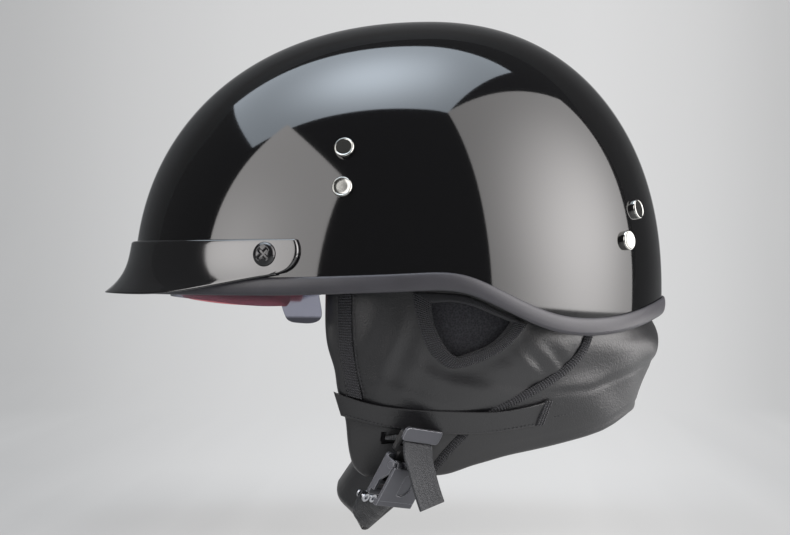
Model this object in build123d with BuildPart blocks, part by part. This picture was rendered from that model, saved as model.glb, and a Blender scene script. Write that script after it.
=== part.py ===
"""Half shell motorcycle helmet: a hard dome with a rubber edge trim and a short peak, a sun
lens that swings down from inside the shell, ear flaps, a neck curtain, and a chin strap
closed by a sliding buckle. Front is -Y, up is +Z, the wearer's left is +X; the origin is
the middle of the rim plane."""
import math
import os

from build123d import *

os.makedirs("parts", exist_ok=True)

# Outline points and strap places are given as shares of this length
span = 100.0
far = 170.0

# Shell: a rounded dome, longer than wide, moulded in one piece
shell_half_width = 114.0
shell_front_reach = 153.1
shell_rear_reach = 119.8
shell_height = 138.8
shell_wall = 3.6
shell_skirt = 34.0
crown_y = 13.4
dome_power = 2.22
crown_steps = 12
rim_foot_shares = ((-1.70, -0.012), (-1.10, -0.012), (-0.49, -0.010), (-0.22, -0.002),
                   (0.05, 0.009), (0.18, 0.012), (0.29, -0.004), (0.44, -0.066),
                   (0.56, -0.125), (0.73, -0.188), (0.935, -0.206), (1.13, -0.177),
                   (1.30, -0.122), (1.60, -0.040))

# Edge trim: rubber channel pushed over the rim
trim_height = 8.6
trim_lip = 1.5
trim_web = 1.8
trim_fit = 0.05
trim_round = 0.9

# Peak: short curved brow fixed by one screw each side
peak_thick = 2.6
peak_seat = 0.2
peak_top = 25.5
peak_flare = 13.2
peak_end_turn = 62.0
peak_low_shares = ((0, -0.008), (15, -0.010), (30, -0.004), (40, 0.030), (52, 0.078),
                   (62, 0.110))
peak_flare_shares = ((0, 1.0), (15, 0.95), (30, 0.64), (40, 0.34), (47, 0.17), (52, 0.05),
                     (62, 0.0))
peak_lug_top_shares = (-0.545, 0.290)
peak_lug_tip_shares = (-0.500, 0.190)
peak_lug_low_shares = (-0.580, 0.095)
peak_edge_round = 0.7
screw_y = -65.4
screw_z = 18.1
screw_head_radius = 5.9
screw_head_height = 2.3
screw_head_round = 1.3
screw_shank_radius = 2.5
cross_length = 6.6
cross_width = 1.5
cross_depth = 1.3
nut_barrel_radius = 3.6
nut_flange_radius = 7.0
nut_flange_thick = 1.0
hole_fit = 0.1
seat_fit = 0.05
wall_sag = 0.4

# Rivets: bright buttons that hold the straps to the shell
front_rivet_shares = ((-0.284, 0.683), (-0.292, 0.496))
rear_rivet_shares = ((1.138, 0.406), (1.080, 0.251))
rivet_radius = 4.9
rivet_height = 2.7
rivet_round = 1.1
rivet_shank_radius = 2.1
rivet_tail_radius = 3.2
rivet_tail_height = 1.0
washer_radius = 5.6
washer_thick = 0.8

# Sun lens: a thin curved pane that turns about a line through both sides
lens_pivot_y = 4.0
lens_pivot_z = 19.0
lens_reach = 127.0
lens_half_width = 98.0
lens_power = 2.1
lens_steps = 12
lens_thick = 2.0
lens_low_shares = ((-1.60, -0.010), (-1.30, -0.018), (-1.13, -0.030), (-0.95, -0.044),
                   (-0.80, -0.060), (-0.60, -0.065))
lens_arm_shares = ((-0.60, -0.065), (-0.40, -0.010), (-0.20, 0.045), (0.04, 0.120))
lens_top_shares = ((0.04, 0.260), (-0.60, 0.560), (-1.60, 0.940))
lens_tab_shares = ((-0.605, -0.030), (-0.585, -0.085), (-0.560, -0.132), (-0.500, -0.146),
                   (-0.440, -0.145), (-0.405, -0.128), (-0.398, -0.080), (-0.400, 0.030))
lens_lip_low_share = -0.116
lens_lip_thick = 1.3
lens_hub_radius = 13.0
lens_hub_thick = 2.4
lens_bore_radius = 4.05
nose_radius = 22.0
nose_drop = 16.0
pivot_boss_radius = 4.0
pivot_base_radius = 12.0
pivot_base_thick = 2.3
pivot_gap = 0.2
pivot_head_radius = 6.4
pivot_head_thick = 1.8
pivot_head_round = 0.8
pivot_thread_radius = 1.5
pivot_bore_radius = 1.52
pivot_peg_radius = 2.0
pivot_peg_length = 6.0
pivot_peg_spacing = 15.0

# Impact liner: thick foam under the shell, cut back in front for the lens
liner_gap = 0.3
liner_depth = 32.0
liner_lift = 9.2
lens_clearance = 1.5
pocket_rear_share = 0.20
pocket_knee_shares = ((0.20, 0.33), (0.08, 0.372), (-1.60, 1.010))
notch_low = 2.0
notch_high = 13.2
notch_out_high = 24.0
notch_out_from = 98.0
notch_front = 17.5
notch_rear = 43.0

# Comfort pads inside the liner
pad_gap = 0.3
pad_thick = 6.7
crown_pad_low = 64.0
crown_pad_groove = 8.0
side_pad_low = 9.0
side_pad_high = 52.0
pad_split = 6.0
brow_pad_rear = -58.0
nape_pad_front = 66.0
nape_pad_low = -6.0
roll_inner = 37.0
roll_gap = 0.4
roll_low_shares = ((-1.60, -0.030), (-1.30, -0.034), (-1.10, -0.044), (-0.90, -0.062),
                   (-0.56, -0.070))
roll_top_lift = 8.8

# Neck curtain and ear flaps: one soft wall round the head, seen from above as a horseshoe
curtain_front = -44.0
curtain_level_shares = ((0.10, 0.930, 1.245), (-0.10, 0.925, 1.255), (-0.225, 0.915, 1.312),
                        (-0.36, 0.890, 1.268), (-0.52, 0.850, 1.213), (-0.70, 0.785, 1.172),
                        (-0.97, 0.650, 1.120))
curtain_plan_shares = ((0.0, 0.845), (0.10, 0.912), (0.22, 0.963), (0.38, 0.995),
                       (0.55, 0.990), (0.70, 0.900), (0.82, 0.750), (0.91, 0.54),
                       (0.97, 0.29))
flap_thick = 5.0
neck_thick = 3.2
panel_gap = 0.3
flap_top_lift = 7.1
neck_top_lift = 7.1
flap_front_shares = ((-0.382, 0.300), (-0.382, -0.014), (-0.382, -0.182), (-0.368, -0.278),
                     (-0.339, -0.373), (-0.325, -0.469), (-0.287, -0.613), (-0.277, -0.709),
                     (-0.263, -0.804), (-0.236, -0.870), (-0.185, -0.905))
flap_low_shares = ((-0.185, -0.905), (-0.02, -0.915), (0.115, -0.895))
seam_shares = ((0.115, -0.895), (0.312, -0.661), (0.552, -0.508), (0.743, -0.397),
               (0.860, -0.280), (0.905, -0.150), (0.915, 0.300))
neck_low_shares = ((0.115, -0.898), (0.216, -0.891), (0.312, -0.852), (0.504, -0.795),
                   (0.704, -0.757), (0.910, -0.716), (1.025, -0.690), (1.083, -0.643),
                   (1.139, -0.618), (1.60, -0.612))
opening_shares = ((0.128, -0.050), (0.129, -0.091), (0.145, -0.163), (0.178, -0.234),
                  (0.216, -0.287), (0.250, -0.306), (0.288, -0.297), (0.398, -0.254),
                  (0.475, -0.191), (0.513, -0.139))
opening_top_shares = ((0.513, -0.139), (0.413, -0.098), (0.331, -0.065), (0.231, -0.045),
                      (0.128, -0.050))
binding_shares = ((0.036, 0.005), (0.039, -0.028), (0.054, -0.110), (0.082, -0.215),
                  (0.121, -0.292), (0.166, -0.337), (0.212, -0.364), (0.269, -0.362),
                  (0.372, -0.330), (0.475, -0.273), (0.537, -0.215), (0.585, -0.150))
binding_top_shares = ((0.585, -0.150), (0.44, -0.078), (0.30, -0.016), (0.18, 0.000),
                      (0.036, 0.005))
binding_out = 1.1
mesh_thick = 1.2
mesh_gap = 0.3
band_top_shares = ((-0.345, -0.480), (-0.186, -0.531), (-0.040, -0.555), (0.255, -0.570),
                   (0.475, -0.568), (0.690, -0.522))
band_low_shares = ((0.645, -0.645), (0.475, -0.670), (0.327, -0.684), (0.106, -0.678),
                   (-0.149, -0.642), (-0.310, -0.598))
band_thick = 1.8
band_gap = 0.25
piping_shares = ((-0.322, -0.012), (-0.318, -0.230), (-0.272, -0.500))
piping_rear_shares = ((-0.205, -0.517), (-0.250, -0.260), (-0.256, -0.008))
piping_thick = 0.9
seam_half_width = 3.2
seam_thick = 0.9
slit_front = -12.0
slit_rear = 14.0
slit_top = -67.6
slit_low = -73.2
strip_low_lift = 7.4
strip_high_lift = 8.9
strip_in = 1.6
strip_out = 1.4
stud_radius = 1.5
stud_fit = 0.05
stud_high = 15.0
stud_low = 1.0
stud_shares = ((0.805, -0.260), (0.886, 0.000))

# Straps: flat webbing
web_width = 21.0
web_thick = 1.5
rear_web_seen = 12.5
web_inset = 4.3
channel_side = 2.6
channel_depth = 8.4
front_strap_shares = ((-0.410, 0.695), (-0.290, 0.590), (0.000, 0.340), (0.225, 0.146))
front_web_shares = ((-0.410, 0.695), (-0.290, 0.590), (-0.145, 0.465), (0.000, 0.340), (0.100, 0.254))
rear_strap_shares = ((1.175, 0.480), (1.138, 0.406), (1.080, 0.251), (1.035, -0.060))
strap_upper_shares = (((1.070, 0.195, 0.172), (0, 0.65, 0.76)),
                      ((1.066, 0.232, 0.142), (0, 0.68, 0.73)),
                      ((1.049, 0.275, 0.122), (0.1, 0.88, 0.46)),
                      ((1.005, 0.298, 0.112), (0, 1, 0.1)), ((0.930, 0.30, 0.112), (0, 1, 0)),
                      ((0.860, 0.30, 0.112), (0, 1, 0)), ((0.832, 0.30, 0.099), (0, 1, 0)),
                      ((0.823, 0.30, 0.070), (0, 1, 0)),
                      ((0.820, 0.295, 0.00), (0, 1, 0)), ((0.810, 0.27, -0.12), (0, 1, 0)),
                      ((0.788, 0.20, -0.28), (0, 1, 0)), ((0.752, 0.12, -0.45), (0, 1, 0)),
                      ((0.720, 0.055, -0.58), (0, 1, 0)),
                      ((0.707, 0.022, -0.665), (0, 1, 0)), ((0.740, 0.012, -0.704), (0, 1, 0)),
                      ((0.782, 0.010, -0.708), (0, 1, 0)))
strap_left_end_shares = (((0.826, 0.016, -0.708), (-0.35, 0.93, -0.1)),)
slider_run_shares = ((0, 0.186, -0.036), (0, 0.174, 0.008), (0, 0.152, 0.026))
tail_shares = ((0.917, 0.075, -0.838), (0.927, 0.096, -0.918), (0.935, 0.129, -1.020))
tail_across_shares = (-0.78, 0.60, -0.10)
strap_right_shares = (((0.818, 0.010, -0.722), (0, 1, 0)), ((0.828, 0.000, -0.780), (-0.1, 0.95, -0.2)),
                      ((0.790, -0.080, -0.880), (-0.3, 0.85, -0.3)),
                      ((0.640, -0.190, -0.965), (-0.35, 0.8, 0.2)))
lead_shares = (((0.670, -0.130, -1.068), (-0.45, 0.78, 0.40)),
               ((0.728, -0.153, -1.036), (-0.65, 0.72, 0.10)))
lead_end_shares = ((0, -0.193, -0.081), (0, -0.155, -0.081))
fold_low = -18.8
fold_high = -8.0
fold_top = -5.95
fold_layers = 2
loop_out_low = -14.3
loop_out_high = -7.2
loop_out_bottom = -6.0
loop_out_top = -0.9
loop_out_round = 2.4
loop_in_round = 0.5
buckle_shares = (0.855, -0.023, -0.883)
strap_along_shares = (-0.22, -0.45, -0.87)
strap_across_shares = (-0.73, 0.65, -0.15)

# Buckle: a floor with two cheeks, a ratchet tongue that slides in, and a lever over it
floor_width = 25.0
floor_low = -12.5
floor_high = 10.5
floor_thick = 1.6
floor_face = -2.6
floor_round = 1.6
cheek_thick = 1.6
cheek_high = 3.2
cheek_low_high = -0.6
cheek_low = -9.0
cheek_slope_low = -3.0
cheek_slope_high = 2.5
loop_low = -9.6
loop_high = -6.6
loop_width = 22.0
pin_y = 6.6
pin_z = 2.0
pin_radius = 1.1
pin_fit = 0.03
pin_head_radius = 2.0
pin_head_thick = 0.7
lever_face = 5.1
lever_thick = 1.5
lever_high = 6.4
lever_low = -11.5
lever_lip_low = -14.0
lever_lip_drop = 2.6
lever_round = 2.0
lever_mark_radius = 5.6
lever_mark_flat = 2.4
lever_mark_depth = 0.5
lever_mark_y = -2.5
eye_radius = 2.4
eye_inner = 8.0
eye_outer = 10.6
pawl_width = 9.0
pawl_radius = 2.0
pawl_nose_y = 4.6
pawl_nose_z = -0.1
pawl_nose_wide = 1.2
tongue_width = 15.0
tongue_thick = 1.5
tongue_gap = 0.1
tongue_low = -4.0
tooth_height = 0.7
tooth_pitch = 1.8
tooth_count = 7
tooth_low = -3.6
frame_width = 26.0
frame_low = 13.0
frame_high = 24.5
frame_thick = 2.0
frame_low_bar = 3.2
frame_high_bar = 2.6
frame_round = 1.8
frame_slot_width = 22.0
plate_low = 19.7
plate_high = 26.6
plate_thick = 1.4
plate_round = 1.8
spring_wire = 0.2
spring_radius = 1.35
spring_height = 2.4
spring_start = 4.9
spring_turns = 3
end_rivet_radius = 2.2
end_rivet_shank = 1.1
end_rivet_head = 0.8
end_rivet_hollow = 1.0
end_rivet_top = -5.9
end_rivet_low = -9.05
end_rivet_y = -16.1
end_rivet_xs = (-4.0, -9.0)

# Chin pad: a folded sleeve round the strap
chin_wide = 26.0
chin_deep = 7.0
chin_round = 3.2
chin_slot_wide = 22.0
chin_slot_deep = 2.2
chin_shares = (((0.610, -0.105, -1.080), (-0.25, 0.72, 0.65)),
               ((0.480, -0.125, -1.065), (-0.15, 0.73, 0.67)),
               ((0.220, -0.180, -1.025), (0, 0.60, 0.80)),
               ((-0.120, -0.260, -0.985), (0.1, 0.55, 0.82)),
               ((-0.400, -0.265, -0.950), (0.3, 0.55, 0.78)))


def scaled(shares):
    """Places in millimetres from shares of the span."""
    return tuple(share * span for share in shares)


def side_block(runs, start, end):
    """Block whose outline is drawn in the side view and which runs from one X to another."""
    with BuildPart() as block:
        with BuildSketch(Plane.YZ.offset(start)):
            with BuildLine():
                for run in runs:
                    if len(run) == 2:
                        Line(*run)
                    else:
                        Spline(*run)
            make_face()
        extrude(amount=end - start)
    return block.part


def below_rim(lift):
    """Everything under the foot line of the trim, raised by the lift."""
    foot = [(y * span, z * span + lift) for y, z in rim_foot_shares]
    first, last = foot[0], foot[-1]
    low_first, low_last = (first[0], -far), (last[0], -far)
    return side_block((foot, (last, low_last), (low_last, low_first), (low_first, first)), -far, far)


def crown_spread(height, inset):
    """Share of the plan size that the dome keeps at a height."""
    return (1 - (abs(height) / (shell_height - inset)) ** dome_power) ** (1 / dome_power)


domes = {}


def dome(inset):
    """Solid dome set in from the outer face: a superellipse swung round the crown and stretched."""
    if inset in domes:
        return domes[inset]
    wide = shell_half_width - inset
    high = shell_height - inset
    points = []
    for step in range(crown_steps + 1):
        turn = math.pi / 2 * (1 - step / crown_steps)
        points.append((wide * math.cos(turn) ** (2 / dome_power) if step else 0,
                       high * math.sin(turn) ** (2 / dome_power) if step < crown_steps else 0))
    for share in (0.5, 1.0):
        points.append((wide * crown_spread(shell_skirt * share, inset), -shell_skirt * share))
    foot = points[-1]
    slope = (foot[0] - points[-2][0], foot[1] - points[-2][1])
    halves = []
    for way, reach in ((1, shell_rear_reach), (-1, shell_front_reach)):
        with BuildPart() as half:
            with BuildSketch(Plane.XZ):
                with BuildLine():
                    Spline(*points, tangents=((1, 0), slope))
                    Line(foot, (0, foot[1]))
                    Line((0, foot[1]), points[0])
                make_face()
            revolve(axis=Axis((0, 0, 0), (0, 0, way)), revolution_arc=180)
            scale(by=(1, (reach - inset) / wide, 1))
        halves.append(half.part)
    with BuildPart() as whole:
        with Locations((0, crown_y, 0)):
            add(halves[0])
            add(halves[1])
    domes[inset] = whole.part
    return whole.part


def wall_plane(y, z, outset):
    """Plane on the left of the dome at a place seen from the side, facing outward."""
    reach = shell_front_reach if y < crown_y else shell_rear_reach
    spread = crown_spread(z, 0)
    along = (y - crown_y) / reach
    x = shell_half_width * math.sqrt(spread ** 2 - along ** 2)
    normal = Vector(spread ** (dome_power - 2) * x / shell_half_width ** 2,
                    spread ** (dome_power - 2) * along / reach,
                    (z / shell_height) ** (dome_power - 1) / shell_height).normalized()
    return Plane(origin=Vector(x, y, z) + normal * outset,
                 x_dir=Vector(-normal.Y, normal.X, 0), z_dir=normal)


def pin_on_wall(places, radius, low, high):
    """Round pins square to the dome on both sides, between two outsets."""
    with BuildPart() as pins:
        for y, z in places:
            with BuildSketch(wall_plane(y, z, low)):
                Circle(radius)
            extrude(amount=high - low)
        mirror(about=Plane.YZ)
    return pins.part


def band(stations, wide, thick, corner=0):
    """Flat band in straight runs between stations, each a place and the way across the band."""
    with BuildPart() as strip:
        for number, (place, across) in enumerate(stations):
            before = Vector(*stations[max(number - 1, 0)][0])
            after = Vector(*stations[min(number + 1, len(stations) - 1)][0])
            along = (after - before).normalized()
            side = Vector(*across)
            side = side - along * side.dot(along)
            with BuildSketch(Plane(origin=place, x_dir=side, z_dir=along)):
                if corner:
                    RectangleRounded(wide, thick, corner)
                else:
                    Rectangle(wide, thick)
        loft(ruled=True)
    return strip.part


def ribbon(points, wide):
    """Runs for the outline of a flat ribbon of one width along points of the side view."""
    left, right = [], []
    for number, point in enumerate(points):
        before = points[max(number - 1, 0)]
        after = points[min(number + 1, len(points) - 1)]
        run = math.hypot(after[0] - before[0], after[1] - before[1])
        step = ((after[1] - before[1]) / run * wide / 2, -(after[0] - before[0]) / run * wide / 2)
        left.append((point[0] + step[0], point[1] + step[1]))
        right.append((point[0] - step[0], point[1] - step[1]))
    right.reverse()
    return (left, (left[-1], right[0]), right, (right[-1], left[0]))


# Shell with bores for the screws and rivets
front_rivets_at = [scaled(place) for place in front_rivet_shares]
rear_rivets_at = [scaled(place) for place in rear_rivet_shares]
rivets_at = front_rivets_at + rear_rivets_at
screw_at = [(screw_y, screw_z)]
with BuildPart() as shell:
    add(dome(0))
    add(dome(shell_wall), mode=Mode.SUBTRACT)
    add(below_rim(trim_web + trim_fit), mode=Mode.SUBTRACT)
    add(pin_on_wall(rivets_at, rivet_shank_radius + hole_fit, -channel_depth, rivet_height),
        mode=Mode.SUBTRACT)
    add(pin_on_wall(screw_at, nut_barrel_radius + hole_fit, -channel_depth, rivet_height),
        mode=Mode.SUBTRACT)

# Edge trim
with BuildPart() as edge_trim:
    add(dome(-trim_lip))
    add(dome(shell_wall + trim_lip), mode=Mode.SUBTRACT)
    add(below_rim(trim_height), mode=Mode.INTERSECT)
    add(below_rim(0), mode=Mode.SUBTRACT)
    with BuildPart(mode=Mode.PRIVATE) as groove:
        add(dome(-trim_fit))
        add(dome(shell_wall + trim_fit), mode=Mode.SUBTRACT)
        add(below_rim(trim_web), mode=Mode.SUBTRACT)
    add(groove.part, mode=Mode.SUBTRACT)


def between(table, turn):
    """Straight run between the rows of a small table, even in the turn."""
    turn = abs(turn)
    for (first, low), (second, high) in zip(table, table[1:]):
        if turn <= second:
            return low + (high - low) * (turn - first) / (second - first)
    return table[-1][1]


def peak_section(turn):
    """Upright plane through the crown axis, and the peak's profile on it."""
    sine, cosine = math.sin(math.radians(turn)), math.cos(math.radians(turn))
    low = between(peak_low_shares, turn) * span
    flare = between(peak_flare_shares, turn) * peak_flare

    def reach(height, outset):
        plan = 1 / math.hypot(sine / (shell_half_width + outset), cosine / (shell_front_reach + outset))
        drop = (peak_top - height) / (peak_top - low)
        return plan * crown_spread(height, -outset) + flare * (0.1 * drop + 0.9 * drop ** 3.2)

    heights = [peak_top + (low - peak_top) * step / 6 for step in range(7)]
    outer = [(reach(height, peak_seat + peak_thick), height) for height in heights]
    inner = [(reach(height, peak_seat), height) for height in reversed(heights)]
    plane = Plane(origin=(0, crown_y, 0), x_dir=(sine, -cosine, 0), z_dir=(-cosine, -sine, 0))
    return plane, outer, inner


# Peak with a round lug at each end
with BuildPart() as peak:
    for turn in (-62, -52, -40, -28, -14, 0, 14, 28, 40, 52, 62):
        plane, outer, inner = peak_section(turn)
        with BuildSketch(plane):
            with BuildLine():
                Spline(*outer)
                Line(outer[-1], inner[0])
                Spline(*inner)
                Line(inner[-1], outer[0])
            make_face()
    loft()
    lug_top = scaled(peak_lug_top_shares)
    lug_low = scaled(peak_lug_low_shares)
    with BuildSketch(Plane.YZ.offset(-far)):
        with BuildLine():
            ThreePointArc(lug_top, scaled(peak_lug_tip_shares), lug_low)
            Line(lug_low, (lug_low[0] - trim_height, -far))
            Line((lug_low[0] - trim_height, -far), (-far, -far))
            Line((-far, -far), (-far, lug_top[1]))
            Line((-far, lug_top[1]), lug_top)
        make_face()
    extrude(amount=2 * far, mode=Mode.INTERSECT)
    add(pin_on_wall(screw_at, screw_shank_radius + hole_fit, -shell_wall, peak_flare), mode=Mode.SUBTRACT)
    add(pin_on_wall(screw_at, screw_head_radius + hole_fit, peak_seat + peak_thick, peak_flare),
        mode=Mode.SUBTRACT)

# Peak screws with a cross recess, and the nuts inside the shell
with BuildPart() as peak_screws:
    head_plane = wall_plane(screw_y, screw_z, peak_seat + peak_thick + seat_fit)
    with BuildSketch(head_plane):
        Circle(screw_head_radius)
    extrude(amount=screw_head_height)
    fillet(faces().sort_by(Axis(head_plane.origin, head_plane.z_dir))[-1].edges(), screw_head_round)
    with BuildSketch(head_plane.offset(screw_head_height)):
        for turn in (45, 135):
            with Locations(Rotation(0, 0, turn)):
                Rectangle(cross_length, cross_width)
    extrude(amount=-cross_depth, mode=Mode.SUBTRACT)
    with BuildSketch(head_plane):
        Circle(screw_shank_radius)
    extrude(amount=-(peak_thick + shell_wall + wall_sag + nut_flange_thick))
    mirror(about=Plane.YZ)

with BuildPart() as peak_nuts:
    inner_face = wall_plane(screw_y, screw_z, -shell_wall - wall_sag)
    with BuildSketch(inner_face.offset(-nut_flange_thick)):
        Circle(nut_flange_radius)
        Circle(screw_shank_radius + seat_fit, mode=Mode.SUBTRACT)
    extrude(amount=nut_flange_thick)
    with BuildSketch(inner_face):
        Circle(nut_barrel_radius)
        Circle(screw_shank_radius + seat_fit, mode=Mode.SUBTRACT)
    extrude(amount=shell_wall)
    mirror(about=Plane.YZ)


def rivet_set(places):
    """Button rivets through the shell with a turned-over tail inside."""
    stack = web_inset + web_thick + wall_sag + washer_thick + seat_fit
    with BuildPart() as rivets:
        for y, z in places:
            seat = wall_plane(y, z, seat_fit)
            with BuildPart(mode=Mode.ADD) as one:
                with BuildSketch(seat):
                    Circle(rivet_radius)
                extrude(amount=rivet_height)
                fillet(one.faces().sort_by(Axis(seat.origin, seat.z_dir))[-1].edges(), rivet_round)
                with BuildSketch(seat):
                    Circle(rivet_shank_radius)
                extrude(amount=-stack - seat_fit)
                with BuildSketch(seat.offset(-stack - 2 * seat_fit)):
                    Circle(rivet_tail_radius)
                extrude(amount=-rivet_tail_height)
        mirror(about=Plane.YZ)
    return rivets.part


front_rivets = rivet_set(front_rivets_at)
rear_rivets = rivet_set(rear_rivets_at)
with BuildPart() as rivet_washers:
    for y, z in rivets_at:
        face = wall_plane(y, z, -web_inset - web_thick - wall_sag)
        with BuildSketch(face):
            Circle(washer_radius)
            Circle(rivet_shank_radius + hole_fit, mode=Mode.SUBTRACT)
        extrude(amount=-washer_thick)
    mirror(about=Plane.YZ)


def lens_round(inset):
    """Solid swung about the lens's pivot line, set in from the lens's outer face."""
    wide = lens_half_width - inset
    tall = lens_reach - inset
    points = []
    for step in range(2 * lens_steps + 1):
        turn = math.pi / 2 * step / lens_steps
        sine, cosine = abs(math.sin(turn)), abs(math.cos(turn))
        way = 1 if step < lens_steps else -1
        points.append((way * wide * (cosine ** (2 / lens_power) if step != lens_steps else 0),
                       tall * (sine ** (2 / lens_power) if step % (2 * lens_steps) else 0)))
    with BuildPart() as turned:
        with BuildSketch(Plane.XY):
            with BuildLine():
                Spline(*points, tangents=((0, 1), (0, -1)))
                Line(points[-1], points[0])
            make_face()
        revolve(axis=Axis.X, revolution_arc=360)
    with BuildPart() as placed:
        with Locations((0, lens_pivot_y, lens_pivot_z)):
            add(turned.part)
    return placed.part


def pivot_plane(x):
    """Plane square to the pivot line at a distance to the left."""
    return Plane(origin=(x, lens_pivot_y, lens_pivot_z), x_dir=(0, 1, 0), z_dir=(1, 0, 0))


# Sun lens with its finger tab on the left
lens_low = [scaled(place) for place in lens_low_shares]
lens_arm = [scaled(place) for place in lens_arm_shares]
lens_top = [scaled(place) for place in lens_top_shares]
lens_tab = [scaled(place) for place in lens_tab_shares]
with BuildPart() as sun_lens:
    add(lens_round(0))
    with BuildPart(mode=Mode.PRIVATE) as lip:
        add(lens_round(-lens_lip_thick))
        with BuildSketch(Plane.XY.offset(lens_lip_low_share * span)):
            with Locations((0, lens_tab[0][0] - lens_lip_thick)):
                Rectangle(far, far, align=(Align.MIN, Align.MIN))
        extrude(amount=-far, mode=Mode.INTERSECT)
    add(lip.part)
    add(lens_round(lens_thick), mode=Mode.SUBTRACT)
    with BuildPart(mode=Mode.PRIVATE) as lens_outline:
        add(side_block((lens_low, lens_arm, (lens_arm[-1], lens_top[0]), (lens_top[0], lens_top[1]),
                        (lens_top[1], lens_top[2]), (lens_top[2], lens_low[0])), -far, far))
        add(side_block((lens_tab, (lens_tab[-1], lens_tab[0])), 0, far))
    add(lens_outline.part, mode=Mode.INTERSECT)
    with BuildSketch(pivot_plane(-far)):
        Circle(lens_hub_radius - hole_fit)
    extrude(amount=2 * far, mode=Mode.SUBTRACT)
    with BuildSketch(pivot_plane(lens_half_width - lens_hub_thick + pivot_gap)):
        Circle(lens_hub_radius)
    extrude(amount=lens_hub_thick)
    with BuildSketch(pivot_plane(-lens_half_width - pivot_gap)):
        Circle(lens_hub_radius)
    extrude(amount=lens_hub_thick)
    with BuildSketch(pivot_plane(-far)):
        Circle(lens_bore_radius)
    extrude(amount=2 * far, mode=Mode.SUBTRACT)
    with BuildSketch(Plane.XZ):
        with Locations((0, -nose_drop)):
            Circle(nose_radius)
    extrude(amount=far, mode=Mode.SUBTRACT)

# Lens pivots: a base pegged into the foam each side, and a screw that keeps the lens on it
hub_inner = lens_half_width - lens_hub_thick + pivot_gap
hub_outer = lens_half_width + pivot_gap
with BuildPart() as lens_bases:
    with BuildSketch(pivot_plane(hub_inner - pivot_gap)):
        Circle(pivot_base_radius)
    extrude(amount=-pivot_base_thick)
    with BuildSketch(pivot_plane(hub_inner - pivot_gap)):
        Circle(pivot_boss_radius)
    extrude(amount=lens_hub_thick + 2 * pivot_gap)
    with BuildSketch(pivot_plane(hub_inner - pivot_gap - pivot_base_thick)):
        with GridLocations(pivot_peg_spacing, 0, 2, 1):
            Circle(pivot_peg_radius)
    extrude(amount=-pivot_peg_length)
    with BuildSketch(pivot_plane(hub_inner - pivot_gap - pivot_base_thick)):
        Circle(pivot_bore_radius)
    extrude(amount=far, mode=Mode.SUBTRACT)
    mirror(about=Plane.YZ)

with BuildPart() as lens_screws:
    with BuildSketch(pivot_plane(hub_outer + pivot_gap + seat_fit)):
        Circle(pivot_head_radius)
    extrude(amount=pivot_head_thick)
    fillet(faces().sort_by(Axis.X)[-1].edges(), pivot_head_round)
    with BuildSketch(pivot_plane(hub_outer + pivot_gap + pivot_head_thick)):
        Rectangle(cross_length, cross_width)
        Rectangle(cross_width, cross_length)
    extrude(amount=-cross_depth / 2, mode=Mode.SUBTRACT)
    with BuildSketch(pivot_plane(hub_outer + pivot_gap + seat_fit)):
        Circle(pivot_thread_radius)
    extrude(amount=-(lens_hub_thick + pivot_base_thick))
    mirror(about=Plane.YZ)


def wall_strip(points, wide, outer, inner):
    """Strip that lies along the inside of the shell, drawn in the side view."""
    with BuildPart() as strip:
        add(dome(outer))
        add(dome(inner), mode=Mode.SUBTRACT)
        add(side_block(ribbon(points, wide), 0, far), mode=Mode.INTERSECT)
    return strip.part


front_strap = [scaled(place) for place in front_strap_shares]
rear_strap = [scaled(place) for place in rear_strap_shares]
upper_run = [(scaled(place), across) for place, across in strap_upper_shares]

studs_at = [scaled(place) for place in stud_shares]


def stud_bores(low, high):
    """Bores for the strip's studs on both sides, between two heights."""
    with BuildPart() as bores:
        for x, y in studs_at:
            with BuildSketch(Plane.XY.offset(low)):
                with Locations((x, y), (-x, y)):
                    Circle(stud_radius + stud_fit)
            extrude(amount=high - low)
    return bores.part


# Impact liner
with BuildPart() as lens_pocket:
    pocket = [scaled(place) for place in pocket_knee_shares]
    rear_low = (pocket[0][0], -far)
    add(side_block(((rear_low, pocket[0]), (pocket[0], pocket[1]), (pocket[1], pocket[2]),
                    (pocket[2], (pocket[2][0], -far)), ((pocket[2][0], -far), rear_low)), -far, far))
    add(lens_round(lens_thick + lens_clearance), mode=Mode.SUBTRACT)
with BuildPart() as impact_liner:
    add(dome(shell_wall + liner_gap))
    add(dome(liner_depth), mode=Mode.SUBTRACT)
    add(below_rim(liner_lift), mode=Mode.SUBTRACT)
    add(lens_pocket.part, mode=Mode.SUBTRACT)
    with BuildPart(mode=Mode.PRIVATE) as recesses:
        with BuildSketch(pivot_plane(hub_inner - pivot_gap - pivot_base_thick - seat_fit)):
            Circle(pivot_base_radius + hole_fit)
        extrude(amount=far)
        with BuildSketch(pivot_plane(hub_inner - pivot_gap - pivot_base_thick)):
            with GridLocations(pivot_peg_spacing, 0, 2, 1):
                Circle(pivot_peg_radius + seat_fit)
        extrude(amount=-pivot_peg_length - hole_fit)
        add(wall_strip(front_strap, web_width + 2 * channel_side, 0, channel_depth))
        add(wall_strip(rear_strap, rear_web_seen + 2 * channel_side, 0, channel_depth))
        with BuildSketch(Plane.YZ):
            with Locations(((notch_front + notch_rear) / 2, (notch_low + notch_high) / 2)):
                Rectangle(notch_rear - notch_front, notch_high - notch_low)
        extrude(amount=far)
        with BuildSketch(Plane.YZ.offset(notch_out_from)):
            with Locations(((notch_front + notch_rear) / 2, (notch_low + notch_out_high) / 2)):
                Rectangle(notch_rear - notch_front, notch_out_high - notch_low)
        extrude(amount=far)
        mirror(about=Plane.YZ)
    add(recesses.part, mode=Mode.SUBTRACT)
    add(stud_bores(0, stud_high + hole_fit), mode=Mode.SUBTRACT)


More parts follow.
